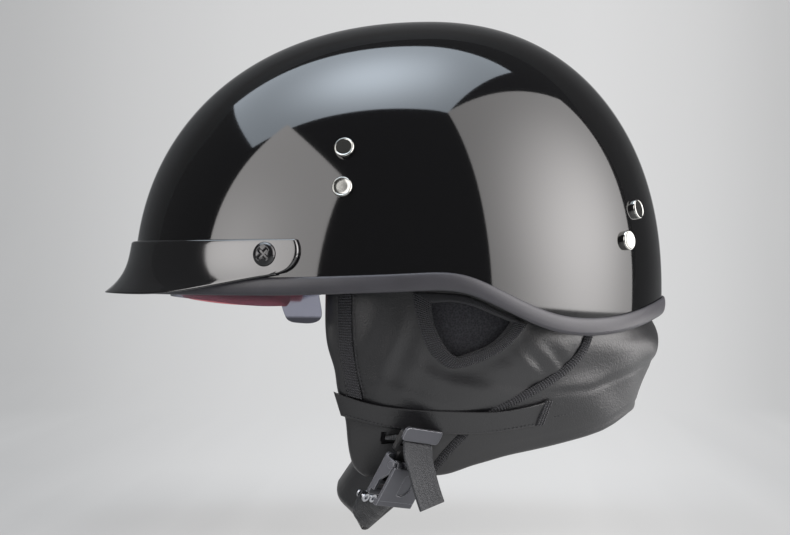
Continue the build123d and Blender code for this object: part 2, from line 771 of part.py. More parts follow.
def pad_layer():
    """Layer of padding just inside the foam."""
    with BuildPart() as layer:
        add(dome(liner_depth + pad_gap))
        add(dome(liner_depth + pad_thick), mode=Mode.SUBTRACT)
    return layer.part


# Comfort pads: a crown cushion in three lobes, a brow pad, two temple pads and a nape pad
padding = pad_layer()
with BuildPart() as crown_pad:
    add(padding)
    with BuildSketch(Plane.XY.offset(crown_pad_low)):
        Rectangle(2 * far, 2 * far)
    extrude(amount=far, mode=Mode.INTERSECT)
    with BuildPart(mode=Mode.PRIVATE) as grooves:
        with BuildSketch(Plane.XZ.offset(-far)):
            with Locations((0, crown_pad_low)):
                Rectangle(crown_pad_groove, pad_thick * 3)
        extrude(amount=2 * far)
    add(grooves.part, mode=Mode.SUBTRACT)
with BuildPart() as brow_pad:
    add(padding)
    with BuildSketch(Plane.YZ.offset(-far)):
        with Locations((brow_pad_rear, side_pad_low)):
            Rectangle(far, side_pad_high - side_pad_low, align=(Align.MAX, Align.MIN))
    extrude(amount=2 * far, mode=Mode.INTERSECT)
with BuildPart() as temple_pad_left:
    add(padding)
    with BuildSketch(Plane.YZ):
        with Locations((brow_pad_rear + pad_split, side_pad_low)):
            Rectangle(nape_pad_front - brow_pad_rear - 2 * pad_split, side_pad_high - side_pad_low,
                      align=(Align.MIN, Align.MIN))
    extrude(amount=far, mode=Mode.INTERSECT)
with BuildPart() as nape_pad:
    add(padding)
    with BuildSketch(Plane.YZ.offset(-far)):
        with Locations((nape_pad_front, nape_pad_low)):
            Rectangle(far, side_pad_high - nape_pad_low, align=(Align.MIN, Align.MIN))
    extrude(amount=2 * far, mode=Mode.INTERSECT)
    add(below_rim(liner_lift), mode=Mode.SUBTRACT)

# Brow roll: the coloured lining under the front of the foam, seen behind the lens
roll_low = [scaled(place) for place in roll_low_shares]
with BuildPart() as brow_roll:
    add(lens_round(lens_thick + lens_clearance))
    add(dome(roll_inner), mode=Mode.SUBTRACT)
    roll_end = (roll_low[-1][0], far)
    add(side_block((roll_low, (roll_low[-1], roll_end), (roll_end, (roll_low[0][0], far)),
                    ((roll_low[0][0], far), roll_low[0])), -far, far), mode=Mode.INTERSECT)
    add(below_rim(roll_top_lift), mode=Mode.INTERSECT)


def curtain_line(wide, rear, out):
    """Places of the soft wall's outer line, from the right front round the back to the left."""
    left = [((wide + out) * across, curtain_front + (rear + out - curtain_front) * along)
            for along, across in curtain_plan_shares]
    right = [(-x, y) for x, y in left]
    return right + [(0, rear + out)] + left[::-1]


walls = {}


def curtain_wall(out, deep):
    """Soft wall between an outset and a depth from its outer face, at all levels."""
    if (out, deep) in walls:
        return walls[(out, deep)]
    with BuildPart() as wall:
        for height, wide, rear in curtain_level_shares:
            outer = curtain_line(wide * span, rear * span, out)
            inner = curtain_line(wide * span, rear * span, -deep)[::-1]
            with BuildSketch(Plane.XY.offset(height * span)):
                with BuildLine():
                    Spline(*outer)
                    Line(outer[-1], inner[0])
                    Spline(*inner)
                    Line(inner[-1], outer[0])
                make_face()
        loft()
    walls[(out, deep)] = wall.part
    return wall.part


def closed_runs(first, second):
    """Two smooth runs closed to one outline, with straight ends where they don't meet."""
    runs = [first]
    if first[-1] != second[0]:
        runs.append((first[-1], second[0]))
    runs.append(second)
    if second[-1] != first[0]:
        runs.append((second[-1], first[0]))
    return runs


# Ear flap with its opening, bound edge and mesh
flap_front = [scaled(place) for place in flap_front_shares]
flap_low = [scaled(place) for place in flap_low_shares]
seam = [scaled(place) for place in seam_shares]
opening = [scaled(place) for place in opening_shares]
opening_top = [scaled(place) for place in opening_top_shares]
binding = [scaled(place) for place in binding_shares]
binding_top = [scaled(place) for place in binding_top_shares]
opening_block = side_block((opening, opening_top), 0, far)
binding_block = side_block((binding, binding_top), 0, far)
flap_block = side_block((flap_front, flap_low, seam, (seam[-1], flap_front[0])), 0, far)
stud_holes = stud_bores(-span, span)
with BuildPart() as ear_flap_left:
    add(curtain_wall(0, flap_thick))
    add(flap_block, mode=Mode.INTERSECT)
    add(below_rim(flap_top_lift), mode=Mode.INTERSECT)
    add(binding_block, mode=Mode.SUBTRACT)
    add(stud_holes, mode=Mode.SUBTRACT)
    with BuildSketch(Plane.YZ):
        with Locations(((slit_front + slit_rear) / 2, (slit_low + slit_top) / 2)):
            Rectangle(slit_rear - slit_front, slit_top - slit_low)
    extrude(amount=far, mode=Mode.SUBTRACT)

with BuildPart() as ear_binding_left:
    add(curtain_wall(binding_out, flap_thick + binding_out))
    add(binding_block, mode=Mode.INTERSECT)
    add(opening_block, mode=Mode.SUBTRACT)

with BuildPart() as ear_mesh_left:
    add(curtain_wall(-flap_thick - binding_out - mesh_gap, flap_thick + binding_out + mesh_gap + mesh_thick))
    add(binding_block, mode=Mode.INTERSECT)

# Neck curtain round the back, joined to the flaps along the ribbed seams
neck_low = [scaled(place) for place in neck_low_shares]
with BuildPart() as neck_curtain:
    add(curtain_wall(0, neck_thick))
    neck_end = (neck_low[-1][0], seam[-1][1])
    neck_seam = [(y + panel_gap, z - panel_gap) for y, z in reversed(seam)]
    add(side_block((neck_seam, (neck_seam[-1], neck_low[0]), neck_low, (neck_low[-1], neck_end),
                    (neck_end, neck_seam[0])), -far, far), mode=Mode.INTERSECT)
    add(below_rim(neck_top_lift), mode=Mode.INTERSECT)

# Lower band and front piping sewn on the outside of the flap, ribbed seam over the joint
band_top = [scaled(place) for place in band_top_shares]
band_low = [scaled(place) for place in band_low_shares]
with BuildPart() as flap_band_left:
    add(curtain_wall(band_gap + band_thick, -band_gap))
    add(side_block(closed_runs(band_top, band_low), 0, far), mode=Mode.INTERSECT)
with BuildPart() as front_piping_left:
    add(curtain_wall(band_gap + piping_thick, -band_gap))
    add(side_block(closed_runs([scaled(p) for p in piping_shares],
                               [scaled(p) for p in piping_rear_shares]), 0, far), mode=Mode.INTERSECT)
with BuildPart() as seam_rib_left:
    add(curtain_wall(band_gap + seam_thick, -band_gap))
    add(side_block(ribbon(seam[:-1], 2 * seam_half_width), 0, far), mode=Mode.INTERSECT)
    add(side_block(closed_runs([(y, z + band_gap) for y, z in band_top],
                               [(y, z - band_gap) for y, z in band_low]), 0, far), mode=Mode.SUBTRACT)
    add(below_rim(-band_gap), mode=Mode.INTERSECT)

# Mounting strip under the foam that carries the flaps, with its studs
with BuildPart() as curtain_strip:
    add(curtain_wall(strip_out, flap_thick + strip_in))
    add(below_rim(strip_high_lift), mode=Mode.INTERSECT)
    add(below_rim(strip_low_lift), mode=Mode.SUBTRACT)
    with BuildSketch(Plane.XY.offset(-span)):
        with Locations((0, seam[-1][0])):
            Rectangle(2 * far, far, align=(Align.CENTER, Align.MAX))
        with Locations((0, flap_front[0][0])):
            Rectangle(2 * far, far, align=(Align.CENTER, Align.MAX), mode=Mode.SUBTRACT)
    extrude(amount=2 * span, mode=Mode.INTERSECT)
    add(stud_holes, mode=Mode.SUBTRACT)

# Buckle frame: across the strap, up along the strap, and outward
along = Vector(*strap_along_shares).normalized()
across = Vector(*strap_across_shares)
across = (across - along * across.dot(along)).normalized()
buckle_plane = Plane(origin=scaled(buckle_shares), x_dir=across, z_dir=along.cross(across) * 1)


def across_plane(x):
    """Plane square to the strap's width; its first direction runs up the strap."""
    place = buckle_plane.from_local_coords((x, 0, 0))
    return Plane(origin=place, x_dir=buckle_plane.y_dir, z_dir=buckle_plane.x_dir)


def local(share_place):
    """Place in the part's frame from a place given in the buckle's frame."""
    return tuple(buckle_plane.from_local_coords(Vector(*scaled(share_place))))


def on_wall(points):
    """Stations of a web that lies flat against the inside of the shell."""
    stations = []
    for number, (y, z) in enumerate(points):
        seat = wall_plane(y, z, -web_inset - web_thick / 2)
        before, after = points[max(number - 1, 0)], points[min(number + 1, len(points) - 1)]
        run = Vector(0, after[0] - before[0], after[1] - before[1])
        stations.append((tuple(seat.origin), tuple(seat.z_dir.cross(run))))
    return stations


# Straps: the upper run follows the shell, goes under the foam and down inside the flap
wall_left = on_wall([scaled(place) for place in front_web_shares])
wall_right = [((-x, y, z), (-a, b, c)) for (x, y, z), (a, b, c) in wall_left]
upper_left = [(scaled(place), across_way) for place, across_way in strap_upper_shares]
upper_right = [((-place[0], place[1], place[2]), (-way[0], way[1], way[2]))
               for place, way in upper_left]
tail_run = [(local(place), strap_across_shares) for place in slider_run_shares]
tail_run += [(scaled(place), tail_across_shares) for place in tail_shares]
left_end = [(scaled(place), way) for place, way in strap_left_end_shares]
with BuildPart() as strap_left:
    add(band(wall_left + upper_left + left_end + tail_run, web_width, web_thick))
    add(pin_on_wall(front_rivets_at, rivet_shank_radius + seat_fit, -channel_depth, 0), mode=Mode.SUBTRACT)

right_end = [((-place[0] * span, place[1] * span, place[2] * span), (-way[0], way[1], way[2]))
             for place, way in strap_right_shares]
chin_run = [(scaled(place), way) for place, way in chin_shares]
lead_run = [(scaled(place), way) for place, way in lead_shares]
lead_run += [(local(place), strap_across_shares) for place in lead_end_shares]
with BuildPart() as end_rivet_bores:
    with BuildSketch(buckle_plane.offset(end_rivet_low)):
        with Locations([(x, end_rivet_y) for x in end_rivet_xs]):
            Circle(end_rivet_shank + seat_fit)
    extrude(amount=end_rivet_top - end_rivet_low)
with BuildPart() as strap_right:
    add(band(wall_right + upper_right + right_end + chin_run[::-1] + lead_run, web_width, web_thick))
    with BuildSketch(across_plane(-web_width / 2)):
        with Locations((fold_low, fold_top)):
            Rectangle(fold_high - fold_low, fold_layers * web_thick, align=(Align.MIN, Align.MAX))
        with Locations(((loop_out_low + loop_out_high) / 2, (loop_out_bottom + loop_out_top) / 2)):
            RectangleRounded(loop_out_high - loop_out_low, loop_out_top - loop_out_bottom, loop_out_round)
            RectangleRounded(loop_out_high - loop_out_low - 2 * web_thick,
                             loop_out_top - loop_out_bottom - 2 * web_thick, loop_in_round,
                             mode=Mode.SUBTRACT)
    extrude(amount=web_width)
    add(pin_on_wall(front_rivets_at, rivet_shank_radius + seat_fit, -channel_depth, 0), mode=Mode.SUBTRACT)
    add(end_rivet_bores.part, mode=Mode.SUBTRACT)

with BuildPart() as rear_straps:
    add(wall_strip(rear_strap, rear_web_seen, web_inset, web_inset + web_thick))
    mirror(about=Plane.YZ)
    add(pin_on_wall(rear_rivets_at, rivet_shank_radius + seat_fit, -channel_depth, 0), mode=Mode.SUBTRACT)

with BuildPart() as end_rivets:
    for x in end_rivet_xs:
        with BuildSketch(buckle_plane.offset(end_rivet_top)):
            with Locations((x, end_rivet_y)):
                Circle(end_rivet_radius)
        extrude(amount=end_rivet_head)
        with BuildSketch(buckle_plane.offset(end_rivet_low)):
            with Locations((x, end_rivet_y)):
                Circle(end_rivet_shank)
        extrude(amount=end_rivet_top - end_rivet_low)
        with BuildSketch(buckle_plane.offset(end_rivet_low)):
            with Locations((x, end_rivet_y)):
                Circle(end_rivet_radius)
        extrude(amount=-end_rivet_head)
        with BuildSketch(buckle_plane.offset(end_rivet_top + end_rivet_head)):
            with Locations((x, end_rivet_y)):
                Circle(end_rivet_hollow)
        extrude(amount=-end_rivet_head, mode=Mode.SUBTRACT)

# Chin pad: a folded sleeve that the strap runs through
with BuildPart() as chin_pad:
    add(band(chin_run, chin_wide, chin_deep, chin_round))
    longer = [(tuple(2 * a - b for a, b in zip(chin_run[0][0], chin_run[1][0])), chin_run[0][1])]
    longer += chin_run
    longer += [(tuple(2 * a - b for a, b in zip(chin_run[-1][0], chin_run[-2][0])), chin_run[-1][1])]
    add(band(longer, chin_slot_wide, chin_slot_deep), mode=Mode.SUBTRACT)

# Buckle floor with its cheeks
with BuildPart() as buckle_floor:
    with BuildSketch(buckle_plane.offset(floor_face - floor_thick)):
        with Locations((0, (floor_low + floor_high) / 2)):
            RectangleRounded(floor_width, floor_high - floor_low, floor_round)
        with Locations((0, (loop_low + loop_high) / 2)):
            Rectangle(loop_width, loop_high - loop_low, mode=Mode.SUBTRACT)
    extrude(amount=floor_thick)
    for x in (-floor_width / 2, floor_width / 2 - cheek_thick):
        with BuildSketch(across_plane(x)):
            with BuildLine():
                Polyline((cheek_low, floor_face - floor_thick), (floor_high - floor_round, floor_face - floor_thick),
                         (floor_high - floor_round, cheek_high), (cheek_slope_high, cheek_high),
                         (cheek_slope_low, cheek_low_high), (cheek_low, cheek_low_high), close=True)
            make_face()
            with Locations((pin_y, pin_z)):
                Circle(pin_radius + seat_fit, mode=Mode.SUBTRACT)
        extrude(amount=cheek_thick)

# Lever: cover plate with a lip, two eyes on the pin and a pawl over the teeth
with BuildPart() as buckle_lever:
    with BuildSketch(buckle_plane.offset(lever_face - lever_thick)):
        with Locations((0, (lever_low + lever_high) / 2)):
            Rectangle(floor_width, lever_high - lever_low)
    extrude(amount=lever_thick)
    with BuildSketch(across_plane(-floor_width / 2)):
        with Locations(((lever_low + lever_lip_low) / 2, lever_face - lever_lip_drop / 2)):
            RectangleRounded(lever_low - lever_lip_low + lever_thick / 2, lever_lip_drop, lever_thick / 2)
    extrude(amount=floor_width)
    for low, high, radius in ((eye_inner, eye_outer, eye_radius), (-eye_outer, -eye_inner, eye_radius),
                              (-pawl_width / 2, pawl_width / 2, pawl_radius)):
        with BuildSketch(across_plane(low)):
            with Locations((pin_y, pin_z)):
                Circle(radius)
            with Locations((pin_y, (pin_z + lever_face - lever_thick) / 2)):
                Rectangle(radius, lever_face - lever_thick - pin_z, align=(Align.MAX, Align.CENTER))
        extrude(amount=high - low)
    with BuildSketch(across_plane(-pawl_width / 2)):
        with BuildLine():
            Polyline((pin_y, pin_z - pin_radius), (pin_y - pawl_radius, pin_z),
                     (pawl_nose_y, pawl_nose_z), (pawl_nose_y + pawl_nose_wide, pawl_nose_z), close=True)
        make_face()
    extrude(amount=pawl_width)
    with BuildSketch(across_plane(-floor_width / 2)):
        with Locations((pin_y, pin_z)):
            Circle(pin_radius + pin_fit)
    extrude(amount=floor_width, mode=Mode.SUBTRACT)
    with BuildSketch(buckle_plane.offset(lever_face)):
        with Locations((0, lever_mark_y)):
            Circle(lever_mark_radius)
            with Locations((-lever_mark_flat, 0)):
                Rectangle(2 * lever_mark_radius, 2 * lever_mark_radius, align=(Align.MAX, Align.CENTER),
                          mode=Mode.SUBTRACT)
    extrude(amount=-lever_mark_depth, mode=Mode.SUBTRACT)

with BuildPart() as lever_pin:
    half = floor_width / 2 + seat_fit
    with BuildSketch(across_plane(-half)):
        with Locations((pin_y, pin_z)):
            Circle(pin_radius)
    extrude(amount=2 * half)
    for x, way in ((half, 1), (-half, -1)):
        with BuildSketch(across_plane(x)):
            with Locations((pin_y, pin_z)):
                Circle(pin_head_radius)
        extrude(amount=way * pin_head_thick)

# Lever spring wound on the pin
with BuildPart() as lever_spring:
    coil_start = buckle_plane.from_local_coords((spring_start, pin_y, pin_z))
    with BuildLine():
        coil = Helix(pitch=spring_height / spring_turns, height=spring_height, radius=spring_radius,
                     center=coil_start, direction=buckle_plane.x_dir)
    with BuildSketch(Plane(origin=coil @ 0, z_dir=coil % 0)):
        Circle(spring_wire)
    sweep(path=coil.edges()[0], is_frenet=True)

# Ratchet tongue with its frame, and the ladder plate on the frame
tongue_base = floor_face + tongue_gap
with BuildPart() as tongue:
    with BuildSketch(buckle_plane.offset(tongue_base)):
        with Locations((0, tongue_low)):
            Rectangle(tongue_width, frame_low - tongue_low + frame_round, align=(Align.CENTER, Align.MIN))
    extrude(amount=tongue_thick)
    with BuildSketch(buckle_plane.offset(tongue_base)):
        with Locations((0, (frame_low + frame_high) / 2)):
            RectangleRounded(frame_width, frame_high - frame_low, frame_round)
        with Locations((0, frame_low + frame_low_bar)):
            Rectangle(frame_slot_width, frame_high - frame_high_bar - frame_low - frame_low_bar,
                      align=(Align.CENTER, Align.MIN), mode=Mode.SUBTRACT)
    extrude(amount=frame_thick)
    for number in range(tooth_count):
        foot = tooth_low + number * tooth_pitch
        with BuildSketch(across_plane(-pawl_width / 2)):
            with BuildLine():
                Polyline((foot, tongue_base + tongue_thick), (foot + tooth_pitch, tongue_base + tongue_thick),
                         (foot, tongue_base + tongue_thick + tooth_height), close=True)
            make_face()
        extrude(amount=pawl_width)

with BuildPart() as slider_plate:
    with BuildSketch(buckle_plane.offset(tongue_base + frame_thick + seat_fit)):
        with Locations((0, (plate_low + plate_high) / 2)):
            RectangleRounded(frame_width, plate_high - plate_low, plate_round)
    extrude(amount=plate_thick)

# Studs of the mounting strip
with BuildPart() as curtain_studs:
    for x, y in studs_at:
        with BuildSketch(Plane.XY.offset(stud_low)):
            with Locations((x, y)):
                Circle(stud_radius)
        extrude(amount=stud_high - stud_low)
    mirror(about=Plane.YZ)


def mirrored(piece):
    """The same piece on the other side of the helmet."""
    with BuildPart() as other:
        add(mirror(piece, about=Plane.YZ, mode=Mode.PRIVATE))
    return other.part


pieces = {
    "shell": shell.part, "edge_trim": edge_trim.part, "peak": peak.part,
    "peak_screws": peak_screws.part, "peak_nuts": peak_nuts.part,
    "front_rivets": front_rivets, "rear_rivets": rear_rivets,
    "rivet_washers": rivet_washers.part, "sun_lens": sun_lens.part,
    "lens_bases": lens_bases.part, "lens_screws": lens_screws.part,
    "impact_liner": impact_liner.part, "crown_pad": crown_pad.part, "brow_pad": brow_pad.part,
    "temple_pad_left": temple_pad_left.part, "temple_pad_right": mirrored(temple_pad_left.part),
    "nape_pad": nape_pad.part, "brow_roll": brow_roll.part,
    "ear_flap_left": ear_flap_left.part, "ear_flap_right": mirrored(ear_flap_left.part),
    "ear_binding_left": ear_binding_left.part,
    "ear_binding_right": mirrored(ear_binding_left.part),
    "ear_mesh_left": ear_mesh_left.part, "ear_mesh_right": mirrored(ear_mesh_left.part),
    "flap_band_left": flap_band_left.part, "flap_band_right": mirrored(flap_band_left.part),
    "front_piping_left": front_piping_left.part,
    "front_piping_right": mirrored(front_piping_left.part),
    "seam_rib_left": seam_rib_left.part, "seam_rib_right": mirrored(seam_rib_left.part),
    "neck_curtain": neck_curtain.part, "curtain_strip": curtain_strip.part,
    "curtain_studs": curtain_studs.part, "strap_left": strap_left.part,
    "strap_right": strap_right.part, "rear_straps": rear_straps.part,
    "end_rivets": end_rivets.part, "chin_pad": chin_pad.part,
    "buckle_floor": buckle_floor.part, "buckle_lever": buckle_lever.part,
    "lever_pin": lever_pin.part, "lever_spring": lever_spring.part,
    "tongue": tongue.part, "slider_plate": slider_plate.part,
}
for name, piece in pieces.items():
    piece.label = name
    export_step(piece, "parts/" + name + ".step")
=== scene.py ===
"""Half shell motorcycle helmet, dressed over its CAD frame and lit as in a small studio.
Front is -Y, up is +Z and the wearer's left is +X; sizes are in millimetres until a mesh is made."""
import math

import bmesh
import bpy
import numpy as np
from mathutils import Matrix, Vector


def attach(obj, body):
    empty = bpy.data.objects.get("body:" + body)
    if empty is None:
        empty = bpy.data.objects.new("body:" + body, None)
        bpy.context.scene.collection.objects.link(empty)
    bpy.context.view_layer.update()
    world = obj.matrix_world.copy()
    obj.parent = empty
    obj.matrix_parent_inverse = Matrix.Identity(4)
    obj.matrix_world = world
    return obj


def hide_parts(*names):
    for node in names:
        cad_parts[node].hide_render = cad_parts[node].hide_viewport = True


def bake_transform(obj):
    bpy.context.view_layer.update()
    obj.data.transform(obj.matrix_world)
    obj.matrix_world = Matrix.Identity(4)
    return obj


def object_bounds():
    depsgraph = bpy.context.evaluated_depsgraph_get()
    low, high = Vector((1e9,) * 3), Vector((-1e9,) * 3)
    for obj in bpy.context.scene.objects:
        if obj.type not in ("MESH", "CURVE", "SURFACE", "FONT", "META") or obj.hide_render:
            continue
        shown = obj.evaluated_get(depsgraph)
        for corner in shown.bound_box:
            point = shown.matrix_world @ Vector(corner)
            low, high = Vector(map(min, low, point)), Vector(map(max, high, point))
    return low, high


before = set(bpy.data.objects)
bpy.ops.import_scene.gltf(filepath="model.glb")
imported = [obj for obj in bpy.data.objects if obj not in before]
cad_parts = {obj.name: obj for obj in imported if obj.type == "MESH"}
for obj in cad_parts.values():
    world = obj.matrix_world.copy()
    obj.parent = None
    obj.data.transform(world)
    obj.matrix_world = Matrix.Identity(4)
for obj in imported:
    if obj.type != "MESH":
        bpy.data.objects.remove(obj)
cad_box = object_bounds()

# Studio: a pale sweep of paper behind and under the helmet, three large soft boxes and a low
# card that the gloss shell mirrors, a dim room, and a long lens from the wearer's left.


def linear(code):
    """One sRGB hex colour as the linear values that a shader reads."""
    part = np.array([int(code[i:i + 2], 16) for i in (0, 2, 4)]) / 255
    return (*np.where(part <= 0.04045, part / 12.92, ((part + 0.055) / 1.055) ** 2.4), 1.0)


def add_node(tree, kind, settings=None, inputs=None):
    """Adds a node, sets its own settings, and sets or links its inputs."""
    node = tree.nodes.new(kind)
    for key, value in (settings or {}).items():
        setattr(node, key, value)
    for key, value in (inputs or {}).items():
        if isinstance(value, bpy.types.NodeSocket):
            tree.links.new(value, node.inputs[key])
        else:
            node.inputs[key].default_value = value
    return node


def new_material(name):
    """Empty node material and its tree."""
    material = bpy.data.materials.new(name)
    material.use_nodes = True
    material.node_tree.nodes.clear()
    return material, material.node_tree


def grid_faces(rows, cols, wrap=False):
    """Quads between neighbouring points of a grid stored row by row."""
    i, j = np.meshgrid(np.arange(rows - 1), np.arange(cols if wrap else cols - 1), indexing="ij")
    k = (j + 1) % cols
    return np.stack([i * cols + j, i * cols + k, (i + 1) * cols + k, (i + 1) * cols + j],
                    -1).reshape(-1, 4)


def make_piece(name, points, faces, material, uv=None):
    """Mesh object from points in millimetres; uv is one pair for each point, in metres."""
    mesh = bpy.data.meshes.new(name)
    mesh.from_pydata((np.asarray(points, float) * 0.001).tolist(), [], np.asarray(faces).tolist())
    mesh.polygons.foreach_set("use_smooth", np.ones(len(mesh.polygons), bool))
    if uv is not None:
        layer = mesh.uv_layers.new(name="Cloth")
        corner = np.zeros(len(mesh.loops), np.int32)
        mesh.loops.foreach_get("vertex_index", corner)
        layer.data.foreach_set("uv", np.asarray(uv, np.float32)[corner].ravel())
    mesh.materials.append(material)
    mesh.update()
    piece = bpy.data.objects.new(name, mesh)
    bpy.context.scene.collection.objects.link(piece)
    return piece


camera_away, picture_wide, metres_a_pixel, sensor_wide = 1.100, 790, 0.00052, 36.0
camera_place = np.array([camera_away, -0.0047, 0.012])
lens_data = bpy.data.cameras.new("long_lens")
lens_data.sensor_width = sensor_wide
lens_data.lens = sensor_wide * camera_away / (picture_wide * metres_a_pixel)
camera = bpy.data.objects.new("camera", lens_data)
camera.location = camera_place
camera.rotation_euler = (math.radians(90), 0, math.radians(90))
bpy.context.scene.collection.objects.link(camera)
bpy.context.scene.camera = camera
bpy.context.scene.view_settings.view_transform = "Standard"

# Seamless paper: matt, and pale grey to the eye. Its own brightness is painted on by place across
# the room, lightest behind the rim, as a lamp behind the table would leave it.
floor_gap, paper_half, paper_columns = 3, 3200, 161
floor_height = 1000 * cad_box[0][2] - floor_gap
sweep_x = np.array([1800, 900, 300, -300, -900, -1150, -1340, -1470, -1560, -1600, -1600, -1600, -1600.0])
sweep_z = floor_height + np.array([0, 0, 0, 0, 0, 22, 85, 190, 320, 470, 620, 1100, 2600.0])
sweep_y = np.linspace(-paper_half, paper_half, paper_columns)
sweep = np.stack(np.broadcast_arrays(sweep_x[:, None], sweep_y, sweep_z[:, None]), -1).reshape(-1, 3)
paper, tree = new_material("seamless_paper")
glow = add_node(tree, "ShaderNodeAttribute", {"attribute_name": "glow"})
path = add_node(tree, "ShaderNodeLightPath")
seen = add_node(tree, "ShaderNodeMath", {"operation": "MAXIMUM"},
                {0: path.outputs["Is Camera Ray"], 1: path.outputs["Is Glossy Ray"]})
seen = add_node(tree, "ShaderNodeMath", {"operation": "MAXIMUM"},
                {0: seen.outputs[0], 1: path.outputs["Is Transmission Ray"]})
matt = add_node(tree, "ShaderNodeBsdfDiffuse", None, {"Color": (0.16, 0.16, 0.16, 1)})
mirrored = add_node(tree, "ShaderNodeAttribute", {"attribute_name": "mirrored"})
share = add_node(tree, "ShaderNodeMapRange", None,
                 {"Value": path.outputs["Is Glossy Ray"], "To Min": 0.86,
                  "To Max": mirrored.outputs["Fac"]})
lit = add_node(tree, "ShaderNodeEmission", None,
               {"Color": glow.outputs["Color"], "Strength": share.outputs[0]})
both = add_node(tree, "ShaderNodeAddShader", None, {0: matt.outputs[0], 1: lit.outputs[0]})
plain = add_node(tree, "ShaderNodeBsdfDiffuse", None, {"Color": (0.5, 0.5, 0.5, 1)})
mix = add_node(tree, "ShaderNodeMixShader", None,
               {0: seen.outputs[0], 1: plain.outputs[0], 2: both.outputs[0]})
add_node(tree, "ShaderNodeOutputMaterial", None, {"Surface": mix.outputs[0]})
backdrop = make_piece("backdrop", sweep, grid_faces(len(sweep_x), paper_columns), paper)
away = np.maximum(camera_place[0] - sweep[:, 0] * 0.001, 0.4)
view = (sweep[:, 1] * 0.001 - camera_place[1]) / away
level = np.interp(view, (-0.187, -0.154, -0.125, -0.069, 0.0, 0.095, 0.145, 0.182),
                  (0.40, 0.46, 0.53, 0.62, 0.66, 0.68, 0.61, 0.50))
tint = backdrop.data.color_attributes.new("glow", "FLOAT_COLOR", "POINT")
grey = np.stack([level, level, level, np.ones_like(level)], -1)
tint.data.foreach_set("color", grey.astype(np.float32).ravel())
# Only a strip of wall behind the helmet is bright enough to be mirrored in the dome's edge; the
# floor under the helmet is mirrored more towards the rear.
rise = (sweep[:, 2] * 0.001 - camera_place[2]) / away
wall_strip = np.clip((0.225 - np.abs(view)) / 0.04, 0, 1) * np.clip((0.19 - rise) / 0.05, 0, 1)
floor_part = 0.36 + 0.6 * np.clip(sweep[:, 1] / 200 + 0.75, 0, 1)
floor_part = np.where(np.abs(sweep[:, 0]) < 400, floor_part, 0.3)
mirror_level = np.where(sweep[:, 0] < -800, 0.07 + 0.75 * wall_strip, floor_part)
shine = backdrop.data.attributes.new("mirrored", "FLOAT", "POINT")
shine.data.foreach_set("value", mirror_level.astype(np.float32))


def soft_box(name, corners, shine, light, middle, extra, spread, colour="fffcfb"):
    """Four-cornered soft box: the ruled face between its corners, brighter round the middle and
    fading as a bell curve. It lights with one strength and is mirrored with another."""
    cells = 25
    u, v = np.meshgrid(np.linspace(0, 1, cells), np.linspace(0, 1, cells), indexing="ij")
    a, b, c, d = (np.array(p, float) * 1000 for p in corners)
    u, v = u[..., None], v[..., None]
    place = (a * (1 - u) + b * u) * (1 - v) + (d * (1 - u) + c * u) * v
    cloth, tree = new_material(name + "_cloth")
    path = add_node(tree, "ShaderNodeLightPath")
    bell = add_node(tree, "ShaderNodeAttribute", {"attribute_name": "bell"})
    sharp = add_node(tree, "ShaderNodeMath", {"operation": "MULTIPLY"}, {0: bell.outputs["Fac"], 1: shine})
    level = add_node(tree, "ShaderNodeMix", {"data_type": "FLOAT"},
                     {0: path.outputs["Is Glossy Ray"], 2: light, 3: sharp.outputs[0]})
    lamp = add_node(tree, "ShaderNodeEmission", None,
                    {"Color": linear(colour), "Strength": level.outputs[0]})
    add_node(tree, "ShaderNodeOutputMaterial", None, {"Surface": lamp.outputs[0]})
    box = make_piece(name, place.reshape(-1, 3), grid_faces(cells, cells), cloth)
    far = np.linalg.norm(place.reshape(-1, 3) - np.array(middle, float) * 1000, axis=1)
    bright = 1 + extra * np.exp(-(far / spread) ** 2)
    data = box.data.attributes.new("bell", "FLOAT", "POINT")
    data.data.foreach_set("value", bright.astype(np.float32))
    box.visible_camera = False


soft_box("box_rear", ((0.739, 0.200, 1.436), (-0.428, 1.036, 1.129), (-0.519, 1.491, -0.094),
                      (1.431, 0.746, -0.064)), 1.75, 2.0, (0.40, 1.10, 0.24), 2.5, 600.0)
soft_box("box_front", ((0.337, -0.957, 1.251), (1.213, -0.643, 0.863), (1.335, -0.881, 0.02),
                       (0.334, -1.565, 0.02)), 2.35, 1.6, (0.66, -1.25, 0.22), 0.45, 420.0)
soft_box("box_top", ((0.384, -1.854, 1.60), (0.83, 0.23, 1.60), (-0.40, 0.78, 1.60),
                     (-1.094, -1.466, 1.60)), 2.4, 2.2, (0.11, -0.34, 1.60), 1.6, 520.0, "e3eef9")
soft_box("card_low", ((-0.32, 0.285, -0.126), (0.62, 0.20, -0.126), (0.80, 0.75, -0.100),
                      (-0.32, 0.75, -0.100)), 3.0, 1.0, (0.2, 0.42, -0.12), 0.6, 350.0)

world = bpy.data.worlds.new("dim_room")
world.use_nodes = True
tree = world.node_tree
tree.nodes.clear()
path = add_node(tree, "ShaderNodeLightPath")
level = add_node(tree, "ShaderNodeMix", {"data_type": "FLOAT"},
                 {0: path.outputs["Is Glossy Ray"], 2: 0.34, 3: 0.07})
level = add_node(tree, "ShaderNodeMix", {"data_type": "FLOAT"},
                 {0: path.outputs["Is Camera Ray"], 2: level.outputs[0], 3: 0.55})
room = add_node(tree, "ShaderNodeBackground", None,
                {"Color": (1, 1, 1, 1), "Strength": level.outputs[0]})
add_node(tree, "ShaderNodeOutputWorld", None, {"Surface": room.outputs[0]})
bpy.context.scene.world = world

